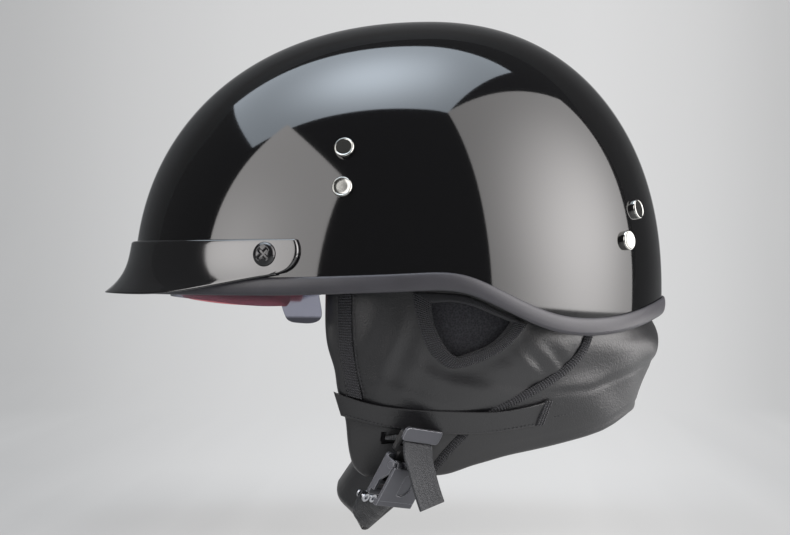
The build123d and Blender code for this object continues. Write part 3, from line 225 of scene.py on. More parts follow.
# Shell: one moulded dome under a thick polished black gel coat, 3.6 mm through. The coat gives
# a mirror gloss over near black, with only the faintest waviness in it.
half_width, front_reach, rear_reach, dome_height = 114.0, 153.1, 119.8, 138.8
crown_y, dome_power, wall, rim_lift, shell_turns = 13.4, 2.22, 3.6, 1.85, 360
rim_foot = np.array(((-170, -1.2), (-110, -1.2), (-49, -1.0), (-22, -0.2), (5, 0.9), (18, 1.2), (29, -0.4),
                     (44, -6.6), (56, -12.5), (73, -18.8), (93.5, -20.6), (113, -17.7), (130, -12.2),
                     (160, -4.0)))


def smooth(knots, values, at):
    """Natural cubic spline through the values at the knots, read at other places."""
    k, v, at = np.asarray(knots, float), np.asarray(values, float), np.asarray(at, float)
    flat = v.ndim == 1
    v = v.reshape(len(k), -1)
    h, i = np.diff(k), np.arange(1, len(k) - 1)
    m, r = np.eye(len(k)), np.zeros_like(v)
    m[i, i - 1], m[i, i], m[i, i + 1] = h[i - 1], 2 * (h[i - 1] + h[i]), h[i]
    r[i] = 6 * ((v[i + 1] - v[i]) / h[i][:, None] - (v[i] - v[i - 1]) / h[i - 1][:, None])
    c = np.linalg.solve(m, r)
    j = np.clip(np.searchsorted(k, at, side="right") - 1, 0, len(k) - 2)
    a, b = ((k[j + 1] - at) / h[j])[..., None], ((at - k[j]) / h[j])[..., None]
    curve = (a ** 3 - a) * c[j] + (b ** 3 - b) * c[j + 1]
    out = a * v[j] + b * v[j + 1] + curve * h[j][..., None] ** 2 / 6
    return out[..., 0] if flat else out


def foot(y):
    """Height of the trim's foot line at a place from front to rear."""
    return smooth(rim_foot[:, 0], rim_foot[:, 1], np.clip(y, -165, 158))


def spread(height, inset):
    """Share of the plan size that the dome keeps at a height: a superellipse."""
    return np.maximum(1 - (np.abs(height) / (dome_height - inset)) ** dome_power, 0) ** (1 / dome_power)


def on_dome(turn, height, inset):
    """Place on the dome: a plan ellipse, shorter behind the crown, shrunk with height; turn is
    measured from the front towards the wearer's left."""
    reach = np.where(np.cos(turn) > 0, front_reach, rear_reach) - inset
    size = spread(height, inset)
    return np.stack([(half_width - inset) * np.sin(turn) * size, crown_y - reach * np.cos(turn) * size,
                     height + 0 * size], -1)


def rim_height(turn, inset, lift):
    """Height of the foot line, raised by the lift, below a turn."""
    height = np.zeros_like(turn)
    for _ in range(8):
        height = foot(on_dome(turn, height, inset)[..., 1]) + lift
    return height


# Gel coat: sprayed and polished, a clear dark mirror; the haze is polishing marks 1 mm apart and
# the ripple is 40 mm long.
gel_coat, tree = new_material("polished_gel_coat")
where = add_node(tree, "ShaderNodeTexCoord")
wave = add_node(tree, "ShaderNodeTexNoise", None,
                {"Vector": where.outputs["Object"], "Scale": 24.0, "Detail": 1.0})
speck = add_node(tree, "ShaderNodeTexNoise", None,
                 {"Vector": where.outputs["Object"], "Scale": 900.0, "Detail": 2.0})
haze = add_node(tree, "ShaderNodeMapRange", None,
                {"Value": speck.outputs["Fac"], "To Min": 0.035, "To Max": 0.075})
ripple = add_node(tree, "ShaderNodeBump", None,
                  {"Strength": 0.10, "Distance": 0.00025, "Height": wave.outputs["Fac"]})
coat = add_node(tree, "ShaderNodeBsdfPrincipled", None,
                {"Base Color": linear("0c0c0e"), "Roughness": haze.outputs[0], "IOR": 1.78,
                 "Normal": ripple.outputs[0]})
add_node(tree, "ShaderNodeOutputMaterial", None, {"Surface": coat.outputs[0]})

turns = np.linspace(0, 2 * math.pi, shell_turns, endpoint=False)
rows = []
for inset, backwards in ((0.0, False), (wall, True)):
    low = rim_height(turns, inset, rim_lift)
    start = np.sign(low) * np.arcsin((np.abs(low) / dome_height) ** (dome_power / 2))
    lift = np.linspace(0, 1, 76)[:, None] ** 1.15
    rise = start + (math.pi / 2 - start) * lift
    height = np.sign(rise) * (dome_height - inset) * np.abs(np.sin(rise)) ** (2 / dome_power)
    layer = on_dome(turns + 0 * height, np.clip(height, -60, dome_height - inset - 1e-6), inset)
    rows.append(layer if backwards else layer[::-1])
dome = np.concatenate(rows)
dome_faces = grid_faces(len(dome), shell_turns, wrap=True)[:, ::-1]
shell = make_piece("gloss_shell", dome.reshape(-1, 3), dome_faces, gel_coat)
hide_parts("shell")
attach(shell, "helmet")

# Edge trim: an extruded rubber channel with soft rounded lips, pushed over the rim and glued.
# The rubber is matt dark grey with a fine bloom that catches a broad, dull highlight.
# Rubber: extruded, dull grey-black, with grit drawn 0.7 mm apart, coarser than real, so it shows.
rubber, tree = new_material("extruded_rubber")
where = add_node(tree, "ShaderNodeTexCoord")
grit = add_node(tree, "ShaderNodeTexNoise", None,
                {"Vector": where.outputs["Object"], "Scale": 1400.0, "Detail": 3.0})
bloom = add_node(tree, "ShaderNodeTexNoise", None,
                 {"Vector": where.outputs["Object"], "Scale": 60.0, "Detail": 4.0})
tone = add_node(tree, "ShaderNodeMix", {"data_type": "RGBA"},
                {0: bloom.outputs["Fac"], 6: linear("3a393e"), 7: linear("4a494f")})
rough = add_node(tree, "ShaderNodeMapRange", None,
                 {"Value": grit.outputs["Fac"], "To Min": 0.38, "To Max": 0.52})
fine = add_node(tree, "ShaderNodeBump", None,
                {"Strength": 0.25, "Distance": 0.0001, "Height": grit.outputs["Fac"]})
skin = add_node(tree, "ShaderNodeBsdfPrincipled", None,
                {"Base Color": tone.outputs[2], "Roughness": rough.outputs[0], "IOR": 1.6,
                 "Normal": fine.outputs[0]})
add_node(tree, "ShaderNodeOutputMaterial", None, {"Surface": skin.outputs[0]})
trim_profile = np.array(((1.55, 1.6), (1.78, 3.0), (1.86, 4.4), (1.78, 5.9), (1.55, 7.2), (1.15, 8.15),
                         (0.6, 8.55), (0.05, 8.3), (0.04, 5.0), (0.04, 1.9), (-3.64, 1.9),
                         (-3.64, 5.0), (-3.65, 8.3), (-4.2, 8.55), (-4.8, 8.1), (-5.1, 7.0),
                         (-5.1, 4.0), (-5.1, 1.5), (-4.8, 0.6), (-4.1, 0.1), (-2.5, 0.0), (0.0, 0.0),
                         (0.75, 0.15), (1.25, 0.7)))
rows = [on_dome(turns, rim_height(turns, -outset, lift), -outset) for outset, lift in trim_profile]
rows.append(rows[0])
trim_faces = grid_faces(len(rows), shell_turns, wrap=True)[:, ::-1]
trim = make_piece("rim_trim", np.stack(rows).reshape(-1, 3), trim_faces, rubber)
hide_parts("edge_trim")
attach(trim, "helmet")

# Peak: a short brow moulded in gloss black plastic, 2.6 mm thick with rounded edges, flaring
# out to the front and ending in a round lug at each side. Its gloss is a little softer.
peak_top, peak_flare, peak_seat, peak_thick, peak_gap, peak_end = 25.5, 13.2, 0.2, 2.6, 1.5, 62
peak_low_line = np.array(((0, -0.8), (15, -1.0), (30, -0.4), (40, 3.0), (52, 7.8), (62, 11.0)))
peak_flare_line = np.array(((0, 1.0), (15, 0.95), (30, 0.64), (40, 0.34), (47, 0.17), (52, 0.05),
                            (62, 0.0)))
lug = np.array(((-54.5, 29.0), (-50.0, 19.0), (-58.0, 9.5)))


def spaced(length, edge, step):
    """Places from 0 to 1 along a length, close together in the rounded edge and even between."""
    near = edge * np.array((0, 0.02, 0.08, 0.2, 0.4, 0.7, 1.0)) / length
    inner = np.linspace(near[-1], 1 - near[-1], max(4, int((length - 2 * edge) / step) + 1))
    return np.concatenate([near[:-1], inner, 1 - near[-2::-1]])


def weld(piece):
    """Joins points that lie on each other, and turns all faces outwards."""
    mesh = bmesh.new()
    mesh.from_mesh(piece.data)
    bmesh.ops.remove_doubles(mesh, verts=mesh.verts, dist=1e-6)
    bmesh.ops.recalc_face_normals(mesh, faces=mesh.faces)
    mesh.to_mesh(piece.data)
    mesh.free()
    piece.data.update()


def slab(name, place, size, thick, edge, step, material, wrap=False, keep=None):
    """Closed slab: a middle surface place(u, v, out) pushed out and in by half the thickness,
    which dies away on a quarter round at the borders. wrap joins the first side to the last."""
    high, wide = size
    u = spaced(high, edge, step)
    v = np.linspace(0, 1, int(wide / step) + 2)[:-1] if wrap else spaced(wide, edge, step)
    u, v = np.meshgrid(u, v, indexing="ij")
    near = np.minimum(u, 1 - u) * high / edge
    reach = np.sqrt(np.maximum(1 - (1 - np.minimum(near, 1)) ** 2, 0))
    if not wrap:
        near = np.minimum(v, 1 - v) * wide / edge
        reach = reach * np.sqrt(np.maximum(1 - (1 - np.minimum(near, 1)) ** 2, 0))
    half = (thick(u, v) if callable(thick) else thick) / 2 * reach
    outer, inner = place(u, v, half), place(u, v, -half)
    rows, cols = u.shape
    faces = grid_faces(rows, cols, wrap)
    points = np.concatenate([outer.reshape(-1, 3), inner.reshape(-1, 3)])
    faces = np.concatenate([faces, faces[:, ::-1] + rows * cols])
    if keep is not None:
        faces = faces[keep(points[faces].mean(1))]
    uv = np.stack([v * wide, u * high], -1).reshape(-1, 2) * 0.001
    piece = make_piece(name, points, faces, material, np.concatenate([uv, uv]))
    weld(piece)
    return piece


def lug_edge(height):
    """Front-to-rear place of the peak's end at a height, on the circle through the lug's points."""
    (ax, az), (bx, bz), (cx, cz) = lug
    m = 2 * np.array(((bx - ax, bz - az), (cx - ax, cz - az)))
    r = np.array((bx ** 2 - ax ** 2 + bz ** 2 - az ** 2, cx ** 2 - ax ** 2 + cz ** 2 - az ** 2))
    y, z = np.linalg.solve(m, r)
    radius = math.hypot(ax - y, az - z)
    return y + np.sqrt(np.maximum(radius ** 2 - (np.clip(height, z - radius, z + radius) - z) ** 2, 0))


def on_peak(u, v, out):
    """Peak's middle surface: the dome's curve, flared out below by a power of the drop; the end
    of each row lies on the lug's round edge."""
    def reach(turn, height, low):
        """Distance from the crown's axis: the dome's plan ellipse, and the flare at that turn."""
        plan = 1 / np.hypot(np.sin(turn) / (half_width + peak_gap),
                            np.cos(turn) / (front_reach + peak_gap))
        drop = np.clip((peak_top - height) / (peak_top - low), 0, 1)
        flare = peak_flare * np.interp(np.degrees(np.abs(turn)), *peak_flare_line.T)
        return plan * spread(height, -peak_gap) + flare * (0.1 * drop + 0.9 * drop ** 3.2) + out

    def low_at(turn):
        """Height of the peak's lower edge at a turn to either side."""
        return smooth(*peak_low_line.T, np.clip(np.degrees(np.abs(turn)), 0, peak_end))

    end = np.full_like(u, math.radians(52))
    for _ in range(14):
        low = low_at(end)
        height = low + (peak_top - low) * u
        far = reach(end, height, low) - out
        end = 0.5 * end + 0.5 * np.arccos(np.clip((crown_y - lug_edge(height)) / far, -1, 1))
    turn = (2 * v - 1) * end
    low = low_at(turn)
    height = low + (peak_top - low) * u
    far = reach(turn, height, low)
    return np.stack([far * np.sin(turn), crown_y - far * np.cos(turn), height], -1)


# Peak plastic: injection moulded ABS, polished tool, a mirror a little softer than the gel coat.
moulded, tree = new_material("gloss_moulded_plastic")
where = add_node(tree, "ShaderNodeTexCoord")
flow = add_node(tree, "ShaderNodeTexNoise", None,
                {"Vector": where.outputs["Object"], "Scale": 45.0, "Detail": 2.0})
haze = add_node(tree, "ShaderNodeMapRange", None,
                {"Value": flow.outputs["Fac"], "To Min": 0.07, "To Max": 0.13})
ripple = add_node(tree, "ShaderNodeBump", None,
                  {"Strength": 0.12, "Distance": 0.0002, "Height": flow.outputs["Fac"]})
skin = add_node(tree, "ShaderNodeBsdfPrincipled", None,
                {"Base Color": linear("101012"), "Roughness": haze.outputs[0], "IOR": 2.1,
                 "Normal": ripple.outputs[0]})
add_node(tree, "ShaderNodeOutputMaterial", None, {"Surface": skin.outputs[0]})
peak = slab("front_peak", on_peak, (26.0, 270.0), peak_thick, 1.2, 1.6, moulded)
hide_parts("peak")
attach(peak, "helmet")

# Peak screws, with their nuts inside: low domed heads with a cross recess, blackened steel with
# a wet-looking gloss. Inside, zinc plated flange nuts, left as the frame has them.


def dome_seat(y, z, outset):
    """Place on the dome's left side seen from the side, and the outward normal there."""
    reach = front_reach if y < crown_y else rear_reach
    size, along = spread(z, 0.0), (y - crown_y) / reach
    x = half_width * math.sqrt(size ** 2 - along ** 2)
    bend = size ** (dome_power - 2)
    out = np.array((bend * x / half_width ** 2, bend * along / reach,
                    (z / dome_height) ** (dome_power - 1) / dome_height))
    out = out / np.linalg.norm(out)
    return np.array((x, y, z)) + out * outset, out


def turned(name, profile, seats, material, segments=72, cross=0.0):
    """Round pieces: a profile of (radius, height) spun about each seat's normal, on both sides.
    A cross recess is sunk where either arm's coordinate is small, with soft walls."""
    radius, high = np.array(profile, float).T
    angle = np.linspace(0, 2 * math.pi, segments, endpoint=False)
    r, a = np.meshgrid(radius, angle, indexing="ij")
    h = np.broadcast_to(high[:, None], r.shape).copy()
    if cross:
        p, q = np.abs(r * np.cos(a - math.pi / 4)), np.abs(r * np.sin(a - math.pi / 4))
        arm = np.maximum(np.clip((0.95 - p) / 0.3, 0, 1) * np.clip((3.5 - q) / 0.4, 0, 1),
                         np.clip((0.95 - q) / 0.3, 0, 1) * np.clip((3.5 - p) / 0.4, 0, 1))
        h -= cross * arm
    points, faces = [], []
    for place, out in seats:
        side = np.cross((0, 0, 1.0), out)
        side = side / np.linalg.norm(side)
        up = np.cross(out, side)
        one = (place + (r * np.cos(a))[..., None] * side + (r * np.sin(a))[..., None] * up
               + h[..., None] * out)
        for flip in (1, -1):
            faces.append(grid_faces(len(radius), segments, True)[:, ::-flip] + len(points) * one.size // 3)
            points.append((one * (flip, 1, 1)).reshape(-1, 3))
    piece = make_piece(name, np.concatenate(points), np.concatenate(faces), material)
    weld(piece)
    return piece


def dress(material, *nodes):
    """Gives CAD nodes a material in place of the one that they came with."""
    for name in nodes:
        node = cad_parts[name]
        node.data.materials.clear()
        node.data.materials.append(material)


# Steel: blackened in a hot bath over a fine grain, so that it looks wet. Zinc plating: pale, satin.
blackened, tree = new_material("blackened_steel")
where = add_node(tree, "ShaderNodeTexCoord")
grain = add_node(tree, "ShaderNodeTexNoise", None,
                 {"Vector": where.outputs["Object"], "Scale": 1200.0, "Detail": 2.0})
haze = add_node(tree, "ShaderNodeMapRange", None,
                {"Value": grain.outputs["Fac"], "To Min": 0.12, "To Max": 0.24})
skin = add_node(tree, "ShaderNodeBsdfPrincipled", None,
                {"Base Color": linear("161618"), "Roughness": haze.outputs[0], "IOR": 1.75})
add_node(tree, "ShaderNodeOutputMaterial", None, {"Surface": skin.outputs[0]})
zinc, tree = new_material("zinc_plated_steel")
where = add_node(tree, "ShaderNodeTexCoord")
grain = add_node(tree, "ShaderNodeTexNoise", None,
                 {"Vector": where.outputs["Object"], "Scale": 500.0, "Detail": 3.0})
haze = add_node(tree, "ShaderNodeMapRange", None,
                {"Value": grain.outputs["Fac"], "To Min": 0.25, "To Max": 0.42})
skin = add_node(tree, "ShaderNodeBsdfPrincipled", None,
                {"Base Color": linear("c9cbd0"), "Metallic": 1.0, "Roughness": haze.outputs[0]})
add_node(tree, "ShaderNodeOutputMaterial", None, {"Surface": skin.outputs[0]})
head = [(0.001, 2.30), (0.4, 2.30), (0.8, 2.29), (1.2, 2.28), (1.6, 2.26), (2.0, 2.23), (2.4, 2.19),
        (2.8, 2.13), (3.2, 2.06), (3.6, 1.96), (4.0, 1.84), (4.4, 1.68), (4.8, 1.48), (5.2, 1.20),
        (5.5, 0.90), (5.75, 0.55), (5.9, 0.15), (5.9, -0.2)]
screw_y, screw_z, head_gap, cross_deep = -65.4, 18.1, 0.05, 1.3
screw_seat = dome_seat(screw_y, screw_z, peak_seat + peak_thick + head_gap)
screws = turned("peak_screw_heads", head, [screw_seat], blackened, 96, cross_deep)
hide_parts("peak_screws")
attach(screws, "helmet")
dress(zinc, "peak_nuts", "rivet_washers")

# Button rivets: nickel plated brass caps with a flat polished face inside a rounded rim; they
# carry the straps. The plating is a clear mirror with a few fine rubbed marks, 1.4 mm apart.
nickel, tree = new_material("polished_nickel_plate")
where = add_node(tree, "ShaderNodeTexCoord")
rub = add_node(tree, "ShaderNodeTexNoise", None,
               {"Vector": where.outputs["Object"], "Scale": 700.0, "Detail": 4.0})
haze = add_node(tree, "ShaderNodeMapRange", None,
                {"Value": rub.outputs["Fac"], "To Min": 0.05, "To Max": 0.12})
skin = add_node(tree, "ShaderNodeBsdfPrincipled", None,
                {"Base Color": linear("bcbcb8"), "Metallic": 1.0, "Roughness": haze.outputs[0]})
add_node(tree, "ShaderNodeOutputMaterial", None, {"Surface": skin.outputs[0]})
front_rivet_places = ((-28.4, 68.3), (-29.2, 49.6))
rear_rivet_places = ((113.8, 40.6), (108.0, 25.1))
button = [(0.001, 2.20), (1.3, 2.20), (2.6, 2.20), (3.75, 2.20), (3.95, 2.22), (4.08, 2.30),
          (4.2, 2.38), (4.36, 2.40), (4.52, 2.34), (4.68, 2.20), (4.82, 1.98), (4.9, 1.60), (4.9, 0.9),
          (4.9, 0.1), (4.9, -0.3)]
for name, places in (("front_rivets", front_rivet_places), ("rear_rivets", rear_rivet_places)):
    caps = turned(name + "_polished", button, [dome_seat(y, z, 0.05) for y, z in places], nickel)
    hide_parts(name)
    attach(caps, "helmet")

# Impact liner: beaded foam moulded to the shell, black, with bead outlines about 3 mm across
# that show as a shallow honeycomb. It stays as the frame has it and gets its bead skin here.
foam, tree = new_material("beaded_black_foam")
where = add_node(tree, "ShaderNodeTexCoord")
beads = add_node(tree, "ShaderNodeTexVoronoi", {"feature": "DISTANCE_TO_EDGE"},
                 {"Vector": where.outputs["Object"], "Scale": 330.0})
edge = add_node(tree, "ShaderNodeMapRange", None, {"Value": beads.outputs["Distance"], "From Max": 0.16})
tone = add_node(tree, "ShaderNodeMix", {"data_type": "RGBA"},
                {0: edge.outputs[0], 6: linear("0f0f11"), 7: linear("252528")})
dent = add_node(tree, "ShaderNodeBump", None,
                {"Strength": 0.5, "Distance": 0.0004, "Height": edge.outputs[0]})
skin = add_node(tree, "ShaderNodeBsdfPrincipled", None,
                {"Base Color": tone.outputs[2], "Roughness": 0.7, "Normal": dent.outputs[0]})
add_node(tree, "ShaderNodeOutputMaterial", None, {"Surface": skin.outputs[0]})
dress(foam, "impact_liner")

# Comfort pads: soft foam in brushed black knit, tacked inside the liner: a crown cushion with
# two sewn channels, a brow pad, a temple pad each side and a nape pad.
# Knit: brushed polyester, all soft sheen; its pile is drawn 0.7 mm apart, coarser than real.
knit, tree = new_material("brushed_knit_lining")
where = add_node(tree, "ShaderNodeTexCoord")
pile = add_node(tree, "ShaderNodeTexNoise", None,
                {"Vector": where.outputs["Object"], "Scale": 1500.0, "Detail": 3.0})
cloud = add_node(tree, "ShaderNodeTexNoise", None,
                 {"Vector": where.outputs["Object"], "Scale": 70.0, "Detail": 4.0})
tone = add_node(tree, "ShaderNodeMix", {"data_type": "RGBA"},
                {0: cloud.outputs["Fac"], 6: linear("1b1b1e"), 7: linear("303034")})
nap = add_node(tree, "ShaderNodeBump", None,
               {"Strength": 0.6, "Distance": 0.0003, "Height": pile.outputs["Fac"]})
skin = add_node(tree, "ShaderNodeBsdfPrincipled", None,
                {"Base Color": tone.outputs[2], "Roughness": 0.95, "Sheen Weight": 0.35,
                 "Sheen Roughness": 0.4,
                 "Normal": nap.outputs[0]})
add_node(tree, "ShaderNodeOutputMaterial", None, {"Surface": skin.outputs[0]})
pad_inset, pad_deep, pad_foot, pad_rise = 35.6, 6.2, 9.6, 41.8


def temple(u, v, out):
    """Pad surface: a patch of the dome inside the foam, between two heights and two places."""
    height, y = pad_foot + pad_rise * u, -51.4 + 110.8 * v
    size = spread(height, pad_inset)
    reach = np.where(y < crown_y, front_reach, rear_reach) - pad_inset
    return on_dome(np.arccos(np.clip((crown_y - y) / (reach * size), -1, 1)), height, pad_inset - out)


def brow(u, v, out):
    """Pad surface across the forehead: the dome's patch in front of a line from side to side."""
    height = pad_foot + pad_rise * u
    end = np.arccos((crown_y + 58.6) / ((front_reach - pad_inset) * spread(height, pad_inset)))
    return on_dome((2 * v - 1) * end, height, pad_inset - out)


def nape(u, v, out):
    """Pad surface across the nape: the dome's patch behind a line from side to side."""
    height = -5.4 + 56.8 * u
    end = np.arccos((66.6 - crown_y) / ((rear_reach - pad_inset) * spread(height, pad_inset)))
    return on_dome(math.pi + (2 * v - 1) * end, height, pad_inset - out)


def crown(u, v, out):
    """Pad surface over the crown: a square grid drawn in to a disc, then laid on the dome's cap."""
    a, b = 2 * u - 1, 2 * v - 1
    across, along = a * np.sqrt(1 - b ** 2 / 2), b * np.sqrt(1 - a ** 2 / 2)
    part = np.clip(np.hypot(across, along), 1e-6, 1) * spread(64.6, pad_inset)
    height = (dome_height - pad_inset + out) * np.maximum(1 - part ** dome_power, 0) ** (1 / dome_power)
    height = np.minimum(height, dome_height - pad_inset + out - 1e-6)
    return on_dome(np.arctan2(across, -along), height, pad_inset - out)


def quilt(channels):
    """Thickness that dips in sewn channels, given as places across the pad."""
    def deep(u, v):
        """Full thickness less a bell curve at each channel."""
        return pad_deep * (1 - 0.75 * sum(np.exp(-((v - c) / 0.028) ** 2) for c in channels))
    return deep


for name, place, size, channels in (
        ("crown_pad", crown, (140, 170), (0.36, 0.64)), ("brow_pad", brow, (42, 130), (0.3, 0.5, 0.7)),
        ("temple_pad_left", temple, (42, 112), (0.5,)), ("nape_pad", nape, (57, 120), (0.3, 0.7)),
        ("temple_pad_right", lambda u, v, out: temple(u, v, out) * (-1, 1, 1), (42, 112), (0.5,))):
    pad = slab(name + "_knit", place, size, quilt(channels), 3.0, 2.4, knit)
    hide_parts(name)
    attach(pad, "helmet")

# Brow lining: a red knit roll under the front of the foam; behind the smoke lens only its
# lower edge shows, as a dusky red line in front of the finger tab.
lens_y, lens_z, lens_wide, lens_tall, lens_power = 4.0, 19.0, 98.0, 127.0, 2.1


def on_lens(turn, height, inset):
    """Place on the lens's round surface, swung about the pivot line, in a direction from the
    pivot: the distance out is halved in on until the superellipse's sum is one."""
    near, far = np.zeros_like(turn + height), np.full_like(turn + height, 200.0)
    for _ in range(40):
        half = (near + far) / 2
        total = (np.abs(half * np.sin(turn)) / (lens_wide - inset)) ** lens_power + (
            np.hypot(half * np.cos(turn), height - lens_z) / (lens_tall - inset)) ** lens_power
        near, far = np.where(total < 1, half, near), np.where(total < 1, far, half)
    return np.stack([near * np.sin(turn), lens_y - near * np.cos(turn), height + 0 * near], -1)


red_knit, tree = new_material("red_knit_lining")
where = add_node(tree, "ShaderNodeTexCoord")
loops = add_node(tree, "ShaderNodeTexNoise", None,
                 {"Vector": where.outputs["Object"], "Scale": 900.0, "Detail": 2.0})
tone = add_node(tree, "ShaderNodeMix", {"data_type": "RGBA"},
                {0: loops.outputs["Fac"], 6: linear("f8606e"), 7: linear("ff909a")})
nap = add_node(tree, "ShaderNodeBump", None,
               {"Strength": 0.4, "Distance": 0.0003, "Height": loops.outputs["Fac"]})
skin = add_node(tree, "ShaderNodeBsdfPrincipled", None,
                {"Base Color": tone.outputs[2], "Roughness": 0.85, "Sheen Weight": 0.2,
                 "Normal": nap.outputs[0]})
add_node(tree, "ShaderNodeOutputMaterial", None, {"Surface": skin.outputs[0]})
roll_inset, roll_behind_rim, roll_half_turn = 12.0, 8.4, math.radians(49.5)
roll_foot = np.array(((-160, -3.0), (-130, -3.4), (-110, -4.4), (-90, -6.2), (-56, -7.0)))


def roll(u, v, out):
    """Roll's surface: the lens's round set in, from its foot line up behind the rim."""
    turn = (2 * v - 1) * roll_half_turn
    rough = on_lens(turn, 0 * turn, roll_inset)
    low = smooth(roll_foot[:, 0], roll_foot[:, 1], np.clip(rough[..., 1], -158, -56)) + 0.2
    height = low + (rim_height(turn, roll_inset, roll_behind_rim) - low) * u
    return on_lens(turn, height, roll_inset - out)


lining = slab("brow_lining", roll, (14.0, 210.0), 14.0, 5.0, 1.6, red_knit)
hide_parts("brow_roll")
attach(lining, "helmet")

# Sun lens: polycarbonate tinted smoke grey, 2 mm thick, turned over at the finger tab into a
# thick dark lip; it pivots on black moulded bases pegged into the foam.
smoke, tree = new_material("smoke_polycarbonate")
where = add_node(tree, "ShaderNodeTexCoord")
place = add_node(tree, "ShaderNodeSeparateXYZ", None, {0: where.outputs["Object"]})
lip = add_node(tree, "ShaderNodeMapRange", None,
               {"Value": place.outputs["Z"], "From Min": -0.0122, "From Max": -0.0110})
tone = add_node(tree, "ShaderNodeMix", {"data_type": "RGBA"},
                {0: lip.outputs[0], 6: linear("4a4a52"), 7: linear("a2a3b2")})
haze = add_node(tree, "ShaderNodeTexNoise", None, {"Vector": where.outputs["Object"], "Scale": 30.0})
rough = add_node(tree, "ShaderNodeMapRange", None,
                 {"Value": haze.outputs["Fac"], "To Min": 0.04, "To Max": 0.09})
skin = add_node(tree, "ShaderNodeBsdfPrincipled", None,
                {"Base Color": tone.outputs[2], "Roughness": rough.outputs[0], "IOR": 1.45,
                 "Transmission Weight": 0.97})
add_node(tree, "ShaderNodeOutputMaterial", None, {"Surface": skin.outputs[0]})
dress(smoke, "sun_lens")
# Nylon: moulded with a spark-eroded grain, a dull black.
nylon, tree = new_material("moulded_black_nylon")
where = add_node(tree, "ShaderNodeTexCoord")
spark = add_node(tree, "ShaderNodeTexNoise", None,
                 {"Vector": where.outputs["Object"], "Scale": 2200.0, "Detail": 2.0})
fine = add_node(tree, "ShaderNodeBump", None,
                {"Strength": 0.3, "Distance": 0.0001, "Height": spark.outputs["Fac"]})
skin = add_node(tree, "ShaderNodeBsdfPrincipled", None,
                {"Base Color": linear("1a1a1c"), "Roughness": 0.45, "IOR": 1.53,
                 "Normal": fine.outputs[0]})
add_node(tree, "ShaderNodeOutputMaterial", None, {"Surface": skin.outputs[0]})
dress(nylon, "lens_bases", "curtain_strip", "curtain_studs")
dress(blackened, "lens_screws")

# Soft wall: the flaps and the neck curtain hang from the foam as one tapering wall round the
# head, cut from leatherette on thin foam; every soft piece below lies on this wall's surface.
levels = np.array(((-97, 65.0, 112.0), (-70, 78.5, 117.2), (-52, 85.0, 121.3), (-36, 89.0, 126.8),
                   (-22.5, 91.5, 131.2), (-10, 92.5, 125.5), (10, 93.0, 124.5)))
plan = np.array(((0, .845), (.10, .912), (.22, .963), (.38, .995), (.55, .990), (.70, .900), (.82, .750),
                 (.91, .54), (.97, .29), (1, 0)))
plan = np.concatenate([plan, plan[-2::-1] * (1, -1)])
round_knots = np.cumsum(np.r_[0, np.linalg.norm(np.diff(plan, axis=0), axis=1)])
round_knots = 2 * round_knots / round_knots[-1]
wall_front = -44
dense_round = np.linspace(0, 1, 500)
dense_along = np.maximum.accumulate(smooth(round_knots, plan, dense_round)[:, 0])


def level_at(z):
    """Half width and rear reach of the wall at a height."""
    both = smooth(levels[:, 0], levels[:, 1:], np.clip(z, -108, 12))
    return both[..., 0], both[..., 1]


def wall_round(s, z, out):
    """Place on the wall, s = 0 at the left temple, 1 behind, 2 at the right temple: the plan
    curve is stretched to the half width and rear reach of the height, both grown by out."""
    wide, rear = level_at(z)
    at = smooth(round_knots, plan, s)
    y = wall_front + (rear + out - wall_front) * at[..., 0]
    return np.stack([(wide + out) * at[..., 1], y, z + 0 * out], -1)


def round_at(y, z):
    """How far round the wall a place seen from the side lies."""
    return np.interp((y - wall_front) / (level_at(z)[1] - wall_front), dense_along, dense_round)


def on_wall(y, z, out):
    """Place on the left side of the wall, from its place seen from the side."""
    return wall_round(round_at(y, z), z, out)


def trace(*points):
    """Smooth curve through points, as a function of the share of its length."""
    points = np.array(points, float)
    knots = np.cumsum(np.r_[0, np.linalg.norm(np.diff(points, axis=0), axis=1)])
    return lambda t: smooth(knots / knots[-1], points, t)


def coons(front, rear, low, top):
    """Patch between four curves that meet at their ends: the two ruled surfaces added, less the
    one through the corners."""
    a, b, c, d = (front(np.array(0.0)), front(np.array(1.0)), rear(np.array(0.0)), rear(np.array(1.0)))

    def place(u, v):
        """Both ruled surfaces together, less the flat patch through the four corners."""
        s, t = u[..., None], v[..., None]
        return ((1 - t) * front(u) + t * rear(u) + (1 - s) * low(v) + s * top(v)
                - (1 - s) * ((1 - t) * a + t * c) - s * ((1 - t) * b + t * d))
    return place


def closest(points, y, z):
    """Distance seen from the side to a curve given by points."""
    at = trace(*points)(np.linspace(0, 1, 90))
    return np.sqrt(np.min([(y - p) ** 2 + (z - q) ** 2 for p, q in at], axis=0))


def inside(points, y, z):
    """True where a place seen from the side lies inside the closed line through the points."""
    within = np.zeros(np.shape(y), bool)
    for (ay, az), (by, bz) in zip(points, np.roll(points, -1, axis=0)):
        within ^= ((az > z) != (bz > z)) & (y < (by - ay) * (z - az) / (bz - az + 1e-12) + ay)
    return within


def both_sides(name, node, place, size, thick, edge, step, material, slot, padded=None, **more):
    """The left piece and its mirrored twin on the right, in place of the two CAD nodes."""
    for side, flip in (("left", 1), ("right", -1)):
        piece = slab("%s_%s" % (name, side), lambda u, v, out: place(u, v, out) * (flip, 1, 1),
                     size, thick, edge, step, material, **more)
        if node:
            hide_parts("%s_%s" % (node, side))
        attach(piece, "helmet")


